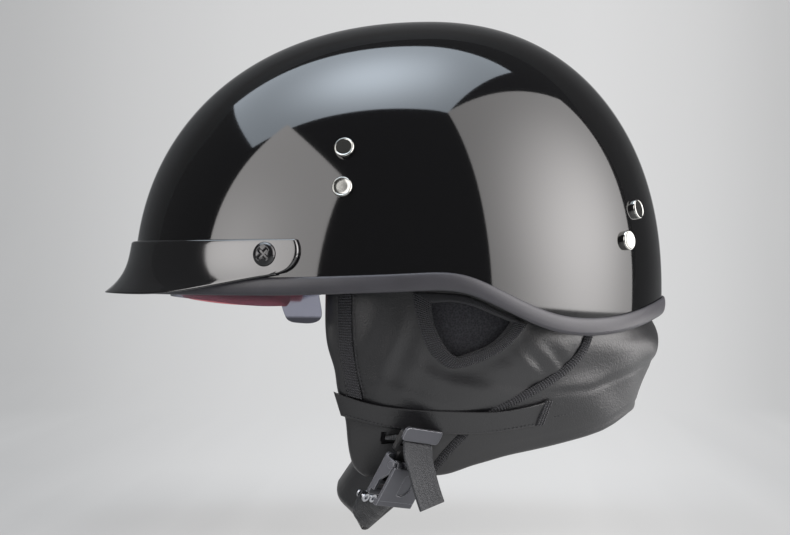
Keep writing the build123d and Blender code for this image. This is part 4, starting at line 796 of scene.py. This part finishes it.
def stitches(name, runs, pitch, length, radius, material):
    """Sewing thread: short capsules along runs, each a pair of functions of t giving the place
    and the way out; they sit half sunk in the cloth. Both sides are made."""
    ring = np.linspace(0, 2 * math.pi, 6, endpoint=False)
    lobes = np.array(((-0.5, 0.25), (-0.3, 0.9), (0.0, 1.0), (0.3, 0.9), (0.5, 0.25)))
    points, faces, count = [], [], 0
    for place in runs:
        line = place(np.linspace(0, 1, 400))
        far = np.cumsum(np.r_[0, np.linalg.norm(np.diff(line, axis=0), axis=1)])
        at = np.arange(pitch / 2, far[-1], pitch)
        mid = np.stack([np.interp(at, far, line[:, i]) for i in range(3)], -1)
        ahead = np.stack([np.interp(at + 0.3, far, line[:, i]) for i in range(3)], -1) - mid
        ahead = ahead / np.maximum(np.linalg.norm(ahead, axis=1), 1e-9)[:, None]
        side = np.cross(ahead, (0.31, 0.2, 0.93))
        side = side / np.linalg.norm(side, axis=1)[:, None]
        up = np.cross(side, ahead)
        for flip in (1, -1):
            around = (np.cos(ring)[:, None] * side[:, None, None]
                        + np.sin(ring)[:, None] * up[:, None, None])
            body = (mid[:, None, None] + lobes[:, 0][:, None, None] * length * ahead[:, None, None]
                    + lobes[:, 1][:, None, None] * radius * around)
            points.append((body * (flip, 1, 1)).reshape(-1, 3))
            one = grid_faces(5, 6, True)[:, ::-flip]
            faces.append((one[None] + 30 * np.arange(len(at))[:, None, None] + count).reshape(-1, 4))
            count += 30 * len(at)
    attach(make_piece(name, np.concatenate(points), np.concatenate(faces), material), "helmet")


# Leatherette: coated knit, embossed, near black, with a broad sheen. Its grain is drawn 0.7 mm
# across and its creases 2.6 mm, a little coarser than real, so that both show.
leather, tree = new_material("grained_leatherette")
where = add_node(tree, "ShaderNodeTexCoord")
grain = add_node(tree, "ShaderNodeTexVoronoi", {"feature": "SMOOTH_F1"},
                 {"Vector": where.outputs["Object"], "Scale": 1500.0})
crease = add_node(tree, "ShaderNodeTexNoise", None,
                  {"Vector": where.outputs["Object"], "Scale": 380.0, "Detail": 5.0, "Distortion": 1.2})
cloud = add_node(tree, "ShaderNodeTexNoise", None,
                 {"Vector": where.outputs["Object"], "Scale": 45.0, "Detail": 4.0})
tone = add_node(tree, "ShaderNodeMix", {"data_type": "RGBA"},
                {0: cloud.outputs["Fac"], 6: linear("131316"), 7: linear("1f1f22")})
gloss = add_node(tree, "ShaderNodeMapRange", None,
                 {"Value": cloud.outputs["Fac"], "To Min": 0.31, "To Max": 0.43})
both = add_node(tree, "ShaderNodeMath", {"operation": "ADD"},
                {0: grain.outputs["Distance"], 1: crease.outputs["Fac"]})
skin_bump = add_node(tree, "ShaderNodeBump", None,
                     {"Strength": 0.35, "Distance": 0.00025, "Height": both.outputs[0]})
skin = add_node(tree, "ShaderNodeBsdfPrincipled", None,
                {"Base Color": tone.outputs[2], "Roughness": gloss.outputs[0], "IOR": 1.75,
                 "Normal": skin_bump.outputs[0]})
add_node(tree, "ShaderNodeOutputMaterial", None, {"Surface": skin.outputs[0]})
# Thread: bonded nylon, dull black; its twist is drawn 0.4 mm long.
thread, tree = new_material("black_sewing_thread")
where = add_node(tree, "ShaderNodeTexCoord")
twist = add_node(tree, "ShaderNodeTexNoise", None, {"Vector": where.outputs["Object"], "Scale": 2500.0})
tone = add_node(tree, "ShaderNodeMix", {"data_type": "RGBA"},
                {0: twist.outputs["Fac"], 6: linear("1c1c1f"), 7: linear("4a4a4e")})
skin = add_node(tree, "ShaderNodeBsdfPrincipled", None,
                {"Base Color": tone.outputs[2], "Roughness": 0.6})
add_node(tree, "ShaderNodeOutputMaterial", None, {"Surface": skin.outputs[0]})

# Ear flaps: leatherette over foam, 5 mm through, quilted flat along every seam; the ear opening is cut
# through and bound. Soft folds run back from the chin corner and down from the rim.
flap_base, slit_middle, slit_half = -2.5, (1, -70.5), (12.6, 2.4)
trim_cover = 7.1
flap_front = np.array(((-19, -90.5), (-23.6, -87), (-26.3, -80.4), (-27.7, -70.9), (-28.7, -61.3),
                       (-32.5, -46.9), (-33.9, -37.3), (-36.8, -27.8), (-38.2, -18.2), (-38.2, -1.4),
                       (-38.2, 6.2)))
seam = np.array(((11.5, -89.5), (31.2, -66.1), (55.2, -50.8), (74.3, -39.7), (86.0, -28), (90.6, -13.6)))
flap_low = np.array(((-19, -90.5), (-2, -91.5), (11.5, -89.5)))
opening = np.array(((12.8, -5.0), (12.9, -9.1), (14.5, -16.3), (17.8, -23.4), (21.6, -28.7),
                    (25, -30.6), (28.8, -29.7), (39.8, -25.4), (47.5, -19.1), (51.3, -13.9)))
opening_top = np.array(((51.3, -13.9), (41.3, -9.8), (33.1, -6.5), (23.1, -4.5), (12.8, -5.0)))
binding = np.array(((3.6, .5), (3.9, -2.8), (5.4, -11), (8.2, -21.5), (12.1, -29.2), (16.6, -33.7),
                    (21.2, -36.4), (26.9, -36.2), (37.2, -33), (47.5, -27.3), (53.7, -21.5),
                    (58.5, -15)))
binding_top = np.array(((58.5, -15), (44, -7.8), (30, -1.6), (18, 0), (3.6, .5)))
piping = np.array(((-32.2, -1.2), (-31.8, -23), (-27.2, -50)))
piping_rear = np.array(((-25.6, -.8), (-25, -26), (-20.5, -51.7)))
band_top = np.array(((-34.5, -48), (-18.6, -53.1), (-4, -55.5), (25.5, -57), (47.5, -56.8),
                     (69, -52.2)))
band_low = np.array(((-31, -59.8), (-14.9, -64.2), (10.6, -67.8), (32.7, -68.4), (47.5, -67),
                     (64.5, -64.5)))
ring_low = (opening + binding[[0, 1, 2, 3, 4, 6, 7, 8, 9, 11]]) / 2
ring_line = np.concatenate([ring_low, (opening_top + binding_top)[1:-1] / 2])
top_line = np.linspace(-38.2, 90.6, 14)
flap_patch = coons(trace(*flap_front), trace(*seam), trace(*flap_low),
                   trace(*np.stack([top_line, foot(top_line) + trim_cover], -1)))


def flap(u, v, out):
    """Flap surface: the patch laid on the wall, puffed up between seams and drawn in along the
    front binding, the ear opening and the band; long shallow folds lie between them."""
    y, z = np.moveaxis(flap_patch(u, v), -1, 0)
    seams = np.minimum(closest(np.concatenate([binding, binding_top[1:]]), y, z), closest(seam, y, z))
    seams = np.minimum(seams, np.minimum(closest(piping_rear, y, z), closest(band_low, y, z)))
    puff = 1.5 * (1 - np.exp(-(seams / 7) ** 2))
    puff += 0.55 * np.sin(0.34 * (z + 0.35 * y) + 1.1 * np.sin(0.05 * y)) * np.exp(-((z + 46) / 9) ** 2)
    puff += 0.45 * np.sin(0.42 * (y - 0.4 * z)) * np.exp(-((z + 30) / 16) ** 2 - ((y + 8) / 16) ** 2)
    puff += 0.5 * np.sin(0.5 * (y + 0.9 * z) + 0.8) * np.exp(-((z + 34) / 9) ** 2 - ((y - 66) / 14) ** 2)
    puff -= 1.1 * np.exp(-((closest((band_top + band_low) / 2, y, z)) / 5.5) ** 4)
    return on_wall(y, z, flap_base + out + puff * np.where(out > 0, 1.0, -0.4))


both_sides("leather_flap", "ear_flap", flap, (88, 112), 5.0, 3.2, 1.3, leather, "leatherette", 0.6,
           keep=lambda at: ~inside(ring_line, at[:, 1], at[:, 2])
           & ~(np.abs(at[:, 1:] - slit_middle) < slit_half).all(1))

# Ear opening: a ribbed knit band turned over the cut edge, 7 mm wide, sewn down on both of its
# borders; a dark patch of open mesh cloth is sewn in behind it.
# Ribbed knit: dull black, with ribs every 1.3 mm across the band and stitches every 0.9 mm.
rib_knit, tree = new_material("ribbed_knit_binding")
cloth = add_node(tree, "ShaderNodeUVMap", {"uv_map": "Cloth"})
place = add_node(tree, "ShaderNodeSeparateXYZ", None, {0: cloth.outputs[0]})
turn = add_node(tree, "ShaderNodeMath", {"operation": "MULTIPLY"},
                {0: place.outputs["X"], 1: 2 * math.pi / 0.0013})
rib = add_node(tree, "ShaderNodeMath", {"operation": "SINE"}, {0: turn.outputs[0]})
turn = add_node(tree, "ShaderNodeMath", {"operation": "MULTIPLY"},
                {0: place.outputs["Y"], 1: 2 * math.pi / 0.0009})
purl = add_node(tree, "ShaderNodeMath", {"operation": "SINE"}, {0: turn.outputs[0]})
fuzz = add_node(tree, "ShaderNodeTexNoise", None,
                {"Vector": cloth.outputs[0], "Scale": 1800.0, "Detail": 3.0})
both = add_node(tree, "ShaderNodeMath", {"operation": "MULTIPLY_ADD"},
                {0: purl.outputs[0], 1: 0.45, 2: rib.outputs[0]})
both = add_node(tree, "ShaderNodeMath", {"operation": "ADD"},
                {0: both.outputs[0], 1: fuzz.outputs["Fac"]})
tone = add_node(tree, "ShaderNodeMapRange", None,
                {"Value": both.outputs[0], "From Min": -1.2, "From Max": 2.2})
shade = add_node(tree, "ShaderNodeMix", {"data_type": "RGBA"},
                 {0: tone.outputs[0], 6: linear("1c1c1f"), 7: linear("46464a")})
ridge = add_node(tree, "ShaderNodeBump", None,
                 {"Strength": 0.7, "Distance": 0.0004, "Height": both.outputs[0]})
skin = add_node(tree, "ShaderNodeBsdfPrincipled", None,
                {"Base Color": shade.outputs[2], "Roughness": 0.8, "Sheen Weight": 0.15,
                 "Normal": ridge.outputs[0]})
add_node(tree, "ShaderNodeOutputMaterial", None, {"Surface": skin.outputs[0]})
inner_low, inner_top = trace(*opening), trace(*opening_top)
outer_low, outer_top = trace(*binding), trace(*binding_top)


def ear_ring(u, v, out):
    """Binding's surface: between the cut edge and its outer border, once round the opening."""
    first, second = np.clip(v / 0.58, 0, 1), np.clip((v - 0.58) / 0.42, 0, 1)
    on_low = (v < 0.58)[..., None]
    cut = np.where(on_low, inner_low(first), inner_top(second))
    border = np.where(on_low, outer_low(first), outer_top(second))
    y, z = np.moveaxis(cut * (1 - u[..., None]) + border * u[..., None], -1, 0)
    crown = 1.3 * np.sqrt(np.clip(1 - (2 * u - 0.75) ** 2 / 1.6, 0, 1))
    return on_wall(y, z, -1.3 + out + crown * np.where(out > 0, 1.0, 0.0))


both_sides("ear_binding_knit", "ear_binding", ear_ring, (7.0, 160.0), 3.4, 1.6, 0.8, rib_knit,
           "knit_binding", wrap=True)
# Mesh cloth: warp knit with open holes, drawn 0.9 mm apart, which leave it darker than the flap.
mesh_cloth, tree = new_material("open_mesh_cloth")
where = add_node(tree, "ShaderNodeTexCoord")
holes = add_node(tree, "ShaderNodeTexVoronoi", None,
                 {"Vector": where.outputs["Object"], "Scale": 1100.0})
tone = add_node(tree, "ShaderNodeMix", {"data_type": "RGBA"},
                {0: holes.outputs["Distance"], 6: linear("1e1e22"), 7: linear("46464b")})
pits = add_node(tree, "ShaderNodeBump", None,
                {"Strength": 0.5, "Distance": 0.0003, "Height": holes.outputs["Distance"]})
skin = add_node(tree, "ShaderNodeBsdfPrincipled", None,
                {"Base Color": tone.outputs[2], "Roughness": 0.85, "Normal": pits.outputs[0]})
add_node(tree, "ShaderNodeOutputMaterial", None, {"Surface": skin.outputs[0]})
mesh_deep = 7.0
mesh_patch = coons(trace(*binding[4::-1]), trace(*binding[9:]), trace(*binding[4:10]),
                   trace(*binding_top[::-1]))


def ear_mesh(u, v, out):
    """Mesh cloth's surface: the patch within the binding, set in behind the flap."""
    return on_wall(*np.moveaxis(mesh_patch(u, v), -1, 0), out - mesh_deep)


both_sides("ear_mesh_patch", "ear_mesh", ear_mesh, (30, 48), 1.2, 0.6, 1.4, mesh_cloth, "mesh_cloth")

# Front binding of the flap: a flat tape of the same knit, 6.4 mm wide, folded back from the
# front edge and sewn down along both of its borders.
tape_patch = coons(trace(*piping[::-1]), trace(*piping_rear[::-1]), trace(piping[-1], piping_rear[-1]),
                   trace(piping[0], piping_rear[0]))


def front_tape(u, v, out):
    """Tape's surface: across the tape and along it, a little raised in the middle."""
    y, z = np.moveaxis(tape_patch(v, u), -1, 0)
    return on_wall(y, z, 0.55 + out + 0.7 * np.sin(math.pi * u) * np.where(out > 0, 1.0, 0.0))


both_sides("front_tape", "front_piping", front_tape, (6.4, 50), 0.9, 0.6, 0.6, rib_knit, "knit_binding")

# Seam between flap and curtain: the two edges are overlocked together into a raised ribbed roll
# about 4 mm wide, which runs up from the chin to the rim.
roll_wide, roll_long, rib_pitch = 4.0, 112, 1.7
seam_line = trace(*seam)


def seam_roll(u, v, out):
    """Roll's surface: an arch across the seam, ribbed every 1.7 mm along it, sunk under the band."""
    at, ahead = seam_line(v), seam_line(v + 0.004) - seam_line(v - 0.004)
    ahead = ahead / np.linalg.norm(ahead, axis=-1)[..., None]
    aside = np.stack([-ahead[..., 1], ahead[..., 0]], -1)
    y, z = np.moveaxis(at + aside * (u[..., None] - 0.5) * roll_wide, -1, 0)
    ribs = 0.14 * np.abs(np.sin(v * roll_long / rib_pitch * math.pi))
    arch = np.sin(math.pi * np.clip(u, 0, 1))
    high = 0.6 * arch + ribs * arch ** 0.5
    under = np.exp(-(closest((band_top + band_low) / 2, y, z) / 6.5) ** 6)
    return on_wall(y, z, 0.15 + out + high * np.where(out > 0, 1.0, 0.0) - 1.4 * under)


both_sides("seam_roll", "seam_rib", seam_roll, (roll_wide, roll_long), 0.9, 0.6, 0.42, rib_knit,
           "knit_binding")

# Neck curtain: one panel round the nape, of the same leatherette, 3.2 mm through, hemmed below;
# it bellies between rim and hem and creases softly where it bends round the jaw.
neck_low = np.array(((11.5, -89.8), (21.6, -89.1), (31.2, -85.2), (50.4, -79.5), (70.4, -75.7),
                     (91, -71.4), (99, -69.3), (105, -67.0), (110, -64.6), (114.5, -62.5),
                     (119, -61.3), (160, -61.2)))
left_edge = np.stack([round_at(*seam.T), seam[:, 1]], -1)
right_edge = left_edge * (-1, 1) + (2, 0)
hem_round = np.linspace(left_edge[0, 0], 2 - left_edge[0, 0], 61)
hem_z = np.full(61, -75.0)
for _ in range(12):
    y = wall_round(hem_round, hem_z, 0 * hem_z)[:, 1]
    hem_z = np.interp(y, neck_low[:, 0], neck_low[:, 1])
rim_round = np.linspace(left_edge[-1, 0], 2 - left_edge[-1, 0], 31)
rim_z = np.full(31, -8.0)
for _ in range(12):
    rim_z = foot(wall_round(rim_round, rim_z, 0 * rim_z)[:, 1]) + trim_cover
curtain_patch = coons(trace(*left_edge * (100, 1)), trace(*right_edge * (100, 1)),
                      trace(*np.stack([hem_round * 100, hem_z], -1)),
                      trace(*np.stack([rim_round * 100, rim_z], -1)))


def curtain(u, v, out):
    """Curtain surface: the patch bent round the wall, bellied below the rim, drawn in at a fold
    above the hem, with a few slack waves that fade to the seams."""
    s, z = np.moveaxis(curtain_patch(u, v), -1, 0)
    s = s / 100
    y = wall_round(s, z, 0 * z)[..., 1]
    slack = np.sin(math.pi * np.clip(v, 0, 1)) ** 0.5 * np.sin(math.pi * u)
    belly = 0.8 * np.sin(math.pi * u) * np.minimum(1, 6 * np.minimum(v, 1 - v))
    fold = z + 44 - 7.5 * np.clip((y - 100) / 25, -0.4, 1) - 0.03 * (y - 110)
    belly += 0.7 * np.exp(-((fold - 4) / 5.5) ** 2) * slack - 0.6 * np.exp(-(fold / 1.8) ** 2) * slack
    belly += 0.5 * slack * np.sin(9 * (s - 1) + 0.11 * z) + 0.3 * slack * np.sin(23 * s + 0.2 * z)
    hem = 0.5 * np.exp(-((u * 60 - 4.2) / 0.8) ** 2) * (1 - np.abs(2 * v - 1) ** 8)
    return wall_round(s, z, -1.6 + out + (belly - hem) * np.where(out > 0, 1.0, 0.6))


curtain_skin = slab("neck_curtain_skin", curtain, (60, 330), 3.2, 1.6, 1.5, leather)
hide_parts("neck_curtain")
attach(curtain_skin, "helmet")

# Lower band: a strip of the same leatherette folded to 12 mm, hemmed with one row of thread,
# that runs round the flap's front edge and back over the seam to an overlocked end.
band_patch = coons(trace(band_low[0], band_top[0]), trace(band_low[-1], band_top[-1]),
                   trace(*band_low), trace(*band_top))


def band(u, v, out):
    """Band's surface: between its two edge lines, a little hollow, its borders lifting unevenly."""
    y, z = np.moveaxis(band_patch(u, v), -1, 0)
    lift = 0.35 * np.sin(7.3 * v + 0.5) * (2 * u - 1) + 0.5 * (2 * u - 1) ** 2
    rise = 0.9 * np.clip(1 - v / 0.05, 0, 1) ** 2
    return on_wall(y, z, 1.25 + out + (lift - 0.3) * np.where(out > 0, 1.0, 0.3) - rise * 0.6)


both_sides("lower_band", "flap_band", band, (12.0, 105.0), 1.7, 0.9, 1.0, leather, "leatherette")
fore_low, fore_top = (end + (-2.6, 0) for end in (band_low[-1], band_top[-1]))
aft_low, aft_top = (end + (0.8, 0) for end in (band_low[-1], band_top[-1]))
band_end = coons(trace(fore_low, fore_top), trace(aft_low, aft_top),
                 trace(fore_low, aft_low), trace(fore_top, aft_top))


def overlock(u, v, out):
    """Surface of the overlocked end: a short strip across the band, ribbed by its thread."""
    ribs = np.where(out > 0, 0.4 + 0.6 * np.abs(np.sin(u * 22)), 0.0)
    return on_wall(*np.moveaxis(band_end(u, v), -1, 0), 2.0 + out + 0.5 * ribs)


both_sides("band_end_overlock", None, overlock, (12.4, 3.4), 1.0, 0.5, 0.35, rib_knit, "knit_binding")


def sewn(patch, across, out, first, last):
    """Run of thread on a patch at a share across it, as a function of the share along."""
    def place(t):
        """Place on the wall over a share of the run."""
        at = patch(np.full_like(t, across), first + (last - first) * t)
        return on_wall(at[..., 0], at[..., 1], np.full_like(t, out))
    return place


def beside(line, offset, out):
    """Run of thread beside a curve seen from the side, at an offset to its left."""
    def place(t):
        """Place on the wall, stepped aside from the curve at right angles to it."""
        ahead = line(t + 0.004) - line(t - 0.004)
        ahead = ahead / np.linalg.norm(ahead, axis=-1)[..., None]
        at = line(t) + np.stack([-ahead[..., 1], ahead[..., 0]], -1) * offset
        return on_wall(at[..., 0], at[..., 1], np.full_like(t, out))
    return place


stitches("binding_thread", [beside(outer_low, 0.7, 0.75), beside(outer_top, 0.7, 0.75),
                            beside(inner_low, -2.2, 1.35), beside(inner_top, -2.0, 1.3)],
         2.0, 1.25, 0.22, thread)
stitches("tape_thread", [beside(trace(*piping_rear), 0.8, 1.3), beside(trace(*piping), -0.8, 1.1)],
         2.2, 1.4, 0.22, thread)
stitches("band_thread", [sewn(band_patch, 0.10, 2.25, 0.02, 0.97)], 2.0, 1.2, 0.22, thread)
stitches("curtain_thread", [lambda t: on_wall(72 + 24 * t, -54.3 + 4.2 * t, 0 * t + 0.7),
                            lambda t: on_wall(72 + 24 * t, -60.6 + 4.2 * t, 0 * t + 0.7)],
         1.9, 1.1, 0.2, thread)

# Chin straps: flat woven webbing 21 mm wide and 1.5 mm thick, riveted inside the shell and led out
# through the flaps. The left one turns over the buckle's slider and ends in a free tail; the right
# one runs under the chin to the buckle. The thread pitch is 1.1 mm, as in polyester webbing.
webbing, tree = new_material("woven_webbing")
cloth = add_node(tree, "ShaderNodeUVMap", {"uv_map": "Cloth"})
place = add_node(tree, "ShaderNodeSeparateXYZ", None, {0: cloth.outputs[0]})
slant = add_node(tree, "ShaderNodeMath", {"operation": "PINGPONG"}, {0: place.outputs["Y"], 1: 0.0022})
slant = add_node(tree, "ShaderNodeMath", {"operation": "ADD"},
                 {0: place.outputs["X"], 1: slant.outputs[0]})
turn = add_node(tree, "ShaderNodeMath", {"operation": "MULTIPLY"},
                {0: slant.outputs[0], 1: 2 * math.pi / 0.0011})
weave = add_node(tree, "ShaderNodeMath", {"operation": "SINE"}, {0: turn.outputs[0]})
turn = add_node(tree, "ShaderNodeMath", {"operation": "MULTIPLY"},
                {0: place.outputs["Y"], 1: 2 * math.pi / 0.0011})
warp = add_node(tree, "ShaderNodeMath", {"operation": "SINE"}, {0: turn.outputs[0]})
both = add_node(tree, "ShaderNodeMath", {"operation": "MULTIPLY_ADD"},
                {0: warp.outputs[0], 1: 0.5, 2: weave.outputs[0]})
tone = add_node(tree, "ShaderNodeMapRange", None,
                {"Value": both.outputs[0], "From Min": -1.5, "From Max": 1.5})
shade = add_node(tree, "ShaderNodeMix", {"data_type": "RGBA"},
                 {0: tone.outputs[0], 6: linear("1c1d20"), 7: linear("434549")})
ridge = add_node(tree, "ShaderNodeBump", None,
                 {"Strength": 0.5, "Distance": 0.00025, "Height": both.outputs[0]})
skin = add_node(tree, "ShaderNodeBsdfPrincipled", None,
                {"Base Color": shade.outputs[2], "Roughness": 0.55, "Sheen Weight": 0.2,
                 "Normal": ridge.outputs[0]})
add_node(tree, "ShaderNodeOutputMaterial", None, {"Surface": skin.outputs[0]})
buckle_at = np.array((85.5, -2.3, -88.3))
buckle_axes = np.array(((-.7385, .6567, -.1529), (.2191, .4483, .8666), (.6376, .6065, -.4750)))


def in_buckle(x, y, z):
    """Place given in the buckle's own directions: across it, up the strap, outwards."""
    return tuple(buckle_at + np.array((x, y, z)) @ buckle_axes)


strap_inset = 5.05


def shell_seat(y, z):
    """Place on the strap's middle surface inside the shell, seen from the side."""
    along = (y - crown_y) / (rear_reach - strap_inset)
    return ((half_width - strap_inset) * math.sqrt(spread(z, strap_inset) ** 2 - along ** 2), y, z)


def strap(name, stations, material, width=21.0, thick=1.5, flip=1, edge=0.7, step=1.1):
    """Webbing along smooth stations, each a place and the way across the webbing."""
    places = np.array([s[0] for s in stations], float)
    ways = np.array([s[1] for s in stations], float)
    knots = np.cumsum(np.r_[0, np.linalg.norm(np.diff(places, axis=0), axis=1)])
    length = knots[-1]

    def place(u, v, out):
        """Along the stations' spline, across by the way given there, a little hollow, and out."""
        at = smooth(knots, places, v * length)
        ahead = smooth(knots, places, v * length + 0.5) - smooth(knots, places, v * length - 0.5)
        ahead = ahead / np.linalg.norm(ahead, axis=-1)[..., None]
        across = np.stack([np.interp(v * length, knots, ways[:, i]) for i in range(3)], -1)
        across = across - (across * ahead).sum(-1)[..., None] * ahead
        across = across / np.linalg.norm(across, axis=-1)[..., None]
        up = np.cross(ahead, across)
        bend = 0.25 * (2 * u - 1) ** 2
        return (at + across * (u[..., None] - 0.5) * width + up * (out + bend)[..., None]) * (flip, 1, 1)
    return slab(name, place, (width, length), thick, edge, step, material)


side_way = (0, 1, 0)
upper_seats = ((-41.0, 69.5, (.35, .7, .6)), (-29.0, 59.0, (.3, .72, .62)),
               (-14.5, 46.5, (.2, .7, .68)), (0.0, 34.0, (.1, .68, .72)), (10.0, 25.4, (0, .66, .75)))
lower_run = [((107.0, 19.5, 17.2), (0, .65, .76)), ((106.6, 23.2, 14.2), (0, .68, .73)),
             ((104.9, 27.5, 12.2), (.1, .88, .46)), ((100.5, 29.8, 11.2), (.1, 1, .1)),
             ((93.0, 30, 11.2), side_way), ((86.0, 30, 11.2), side_way), ((83.2, 30, 9.9), side_way),
             ((82.3, 30, 7.0), side_way), ((82.0, 29.5, 0), side_way), ((81.0, 27, -12), side_way),
             ((78.8, 20, -28), side_way), ((75.2, 12, -45), side_way), ((72.0, 5.5, -58), side_way),
             ((70.7, 2.2, -66.5), side_way), ((74.0, 1.2, -70.4), side_way),
             ((78.2, 1.0, -70.8), side_way)]
upper = [(shell_seat(y, z), way) for y, z, way in upper_seats] + lower_run
buckle_way = tuple(buckle_axes[0])
left_run = upper + [((82.6, 1.6, -70.8), (-.35, .93, -.1)), (in_buckle(0, 18.6, -3.6), buckle_way),
                    (in_buckle(0, 17.4, .8), buckle_way), (in_buckle(0, 15.2, 2.6), buckle_way),
                    ((91.7, 7.5, -83.8), (-.78, .60, -.10)), ((92.7, 9.6, -91.8), (-.78, .60, -.10)),
                    ((93.5, 12.9, -102.0), (-.78, .60, -.10))]
left = strap("strap_left_webbing", left_run, webbing)
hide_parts("strap_left")
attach(left, "helmet")
mirror = np.array((-1, 1, 1))
right_run = [(tuple(np.array(p) * mirror), tuple(np.array(w) * mirror)) for p, w in upper + [
    ((81.8, 1.0, -72.2), (0, 1, 0)), ((82.8, 0, -78.0), (-.1, .95, -.2)), ((79.0, -8, -88), (-.3, .85, -.3)),
    ((64.0, -19, -96.5), (-.35, .8, .2))]]
chin_run = [((-40.0, -26.5, -95.0), (.3, .55, .78)), ((-12.0, -26, -98.5), (.1, .55, .82)),
            ((22.0, -18, -102.5), (0, .60, .80)), ((48.0, -12.5, -106.5), (-.15, .73, .67)),
            ((61.0, -10.5, -108.0), (-.25, .72, .65))]
lead_run = [((67.0, -13, -106.8), (-.45, .78, .40)), ((72.8, -15.3, -103.6), (-.65, .72, .10)),
            (in_buckle(0, -19.3, -8.1), buckle_way), (in_buckle(0, -15.5, -8.1), buckle_way)]
right = strap("strap_right_webbing", right_run + chin_run + lead_run, webbing)
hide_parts("strap_right")
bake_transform(right)

# Rear stubs: short lengths of webbing, 20 mm wide, held by the rear rivets and tucked inside the
# rim. The two are one CAD node, which is hidden once, when the left stub is made.
stub_width = 20.0
for side, flip in (("left", 1), ("right", -1)):
    places = ((117.5, 48.0), *rear_rivet_places, (103.5, -6.0))
    run = [(shell_seat(y, z), (1, -0.3, 0)) for y, z in places]
    stub = strap("rear_stub_%s" % side, run, webbing, width=stub_width, flip=flip)
    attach(stub, "helmet")
    if side == "left":
        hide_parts("rear_straps")

# Buckle: pressed and blackened steel, its edges painted slightly lighter as a highlight: floor, lever, pin,
# slider plate; a ratchet tongue moulded in black nylon; two zinc plated rivets at the strap's end.
gunmetal, tree = new_material("blackened_pressed_steel")
where = add_node(tree, "ShaderNodeTexCoord")
fine = add_node(tree, "ShaderNodeTexNoise", None,
                {"Vector": where.outputs["Object"], "Scale": 900.0, "Detail": 3.0})
near = add_node(tree, "ShaderNodeBevel", None, {"Radius": 0.0006})
plain = add_node(tree, "ShaderNodeNewGeometry")
meet = add_node(tree, "ShaderNodeVectorMath", {"operation": "DOT_PRODUCT"},
                {0: near.outputs[0], 1: plain.outputs["Normal"]})
# Painted highlight: the colour turns lighter along the edges, where the bevelled normal leans away from the
# face.
edge_highlight = add_node(tree, "ShaderNodeMapRange", None,
                {"Value": meet.outputs["Value"], "From Min": 0.97, "From Max": 0.8})
tone = add_node(tree, "ShaderNodeMix", {"data_type": "RGBA"},
                {0: edge_highlight.outputs[0], 6: linear("66676d"), 7: linear("c6c7cc")})
haze = add_node(tree, "ShaderNodeMapRange", None,
                {"Value": fine.outputs["Fac"], "To Min": 0.32, "To Max": 0.46})
skin = add_node(tree, "ShaderNodeBsdfPrincipled", None,
                {"Base Color": tone.outputs[2], "Metallic": 0.55, "Roughness": haze.outputs[0],
                 "Normal": near.outputs[0]})
add_node(tree, "ShaderNodeOutputMaterial", None, {"Surface": skin.outputs[0]})
dress(gunmetal, "buckle_floor", "buckle_lever", "lever_pin", "slider_plate")
dress(nylon, "tongue")
dress(zinc, "lever_spring", "end_rivets")

# Chin sleeve: a tube of leatherette pulled over the strap where it crosses under the chin,
# flattened and folded at its front corner.


def sleeve_thick(u, v):
    """Flat tube, fuller in the middle of each fold."""
    fuller = 1.1 * np.sin(3.1 * math.pi * v + 0.6) * np.sin(math.pi * u)
    return 5.4 + fuller - 1.2 * np.exp(-((v - 0.83) / 0.05) ** 2)


sleeve = strap("chin_sleeve", chin_run, leather, width=27.0, thick=sleeve_thick, edge=3.0, step=1.3)
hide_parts("chin_pad")
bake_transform(sleeve)
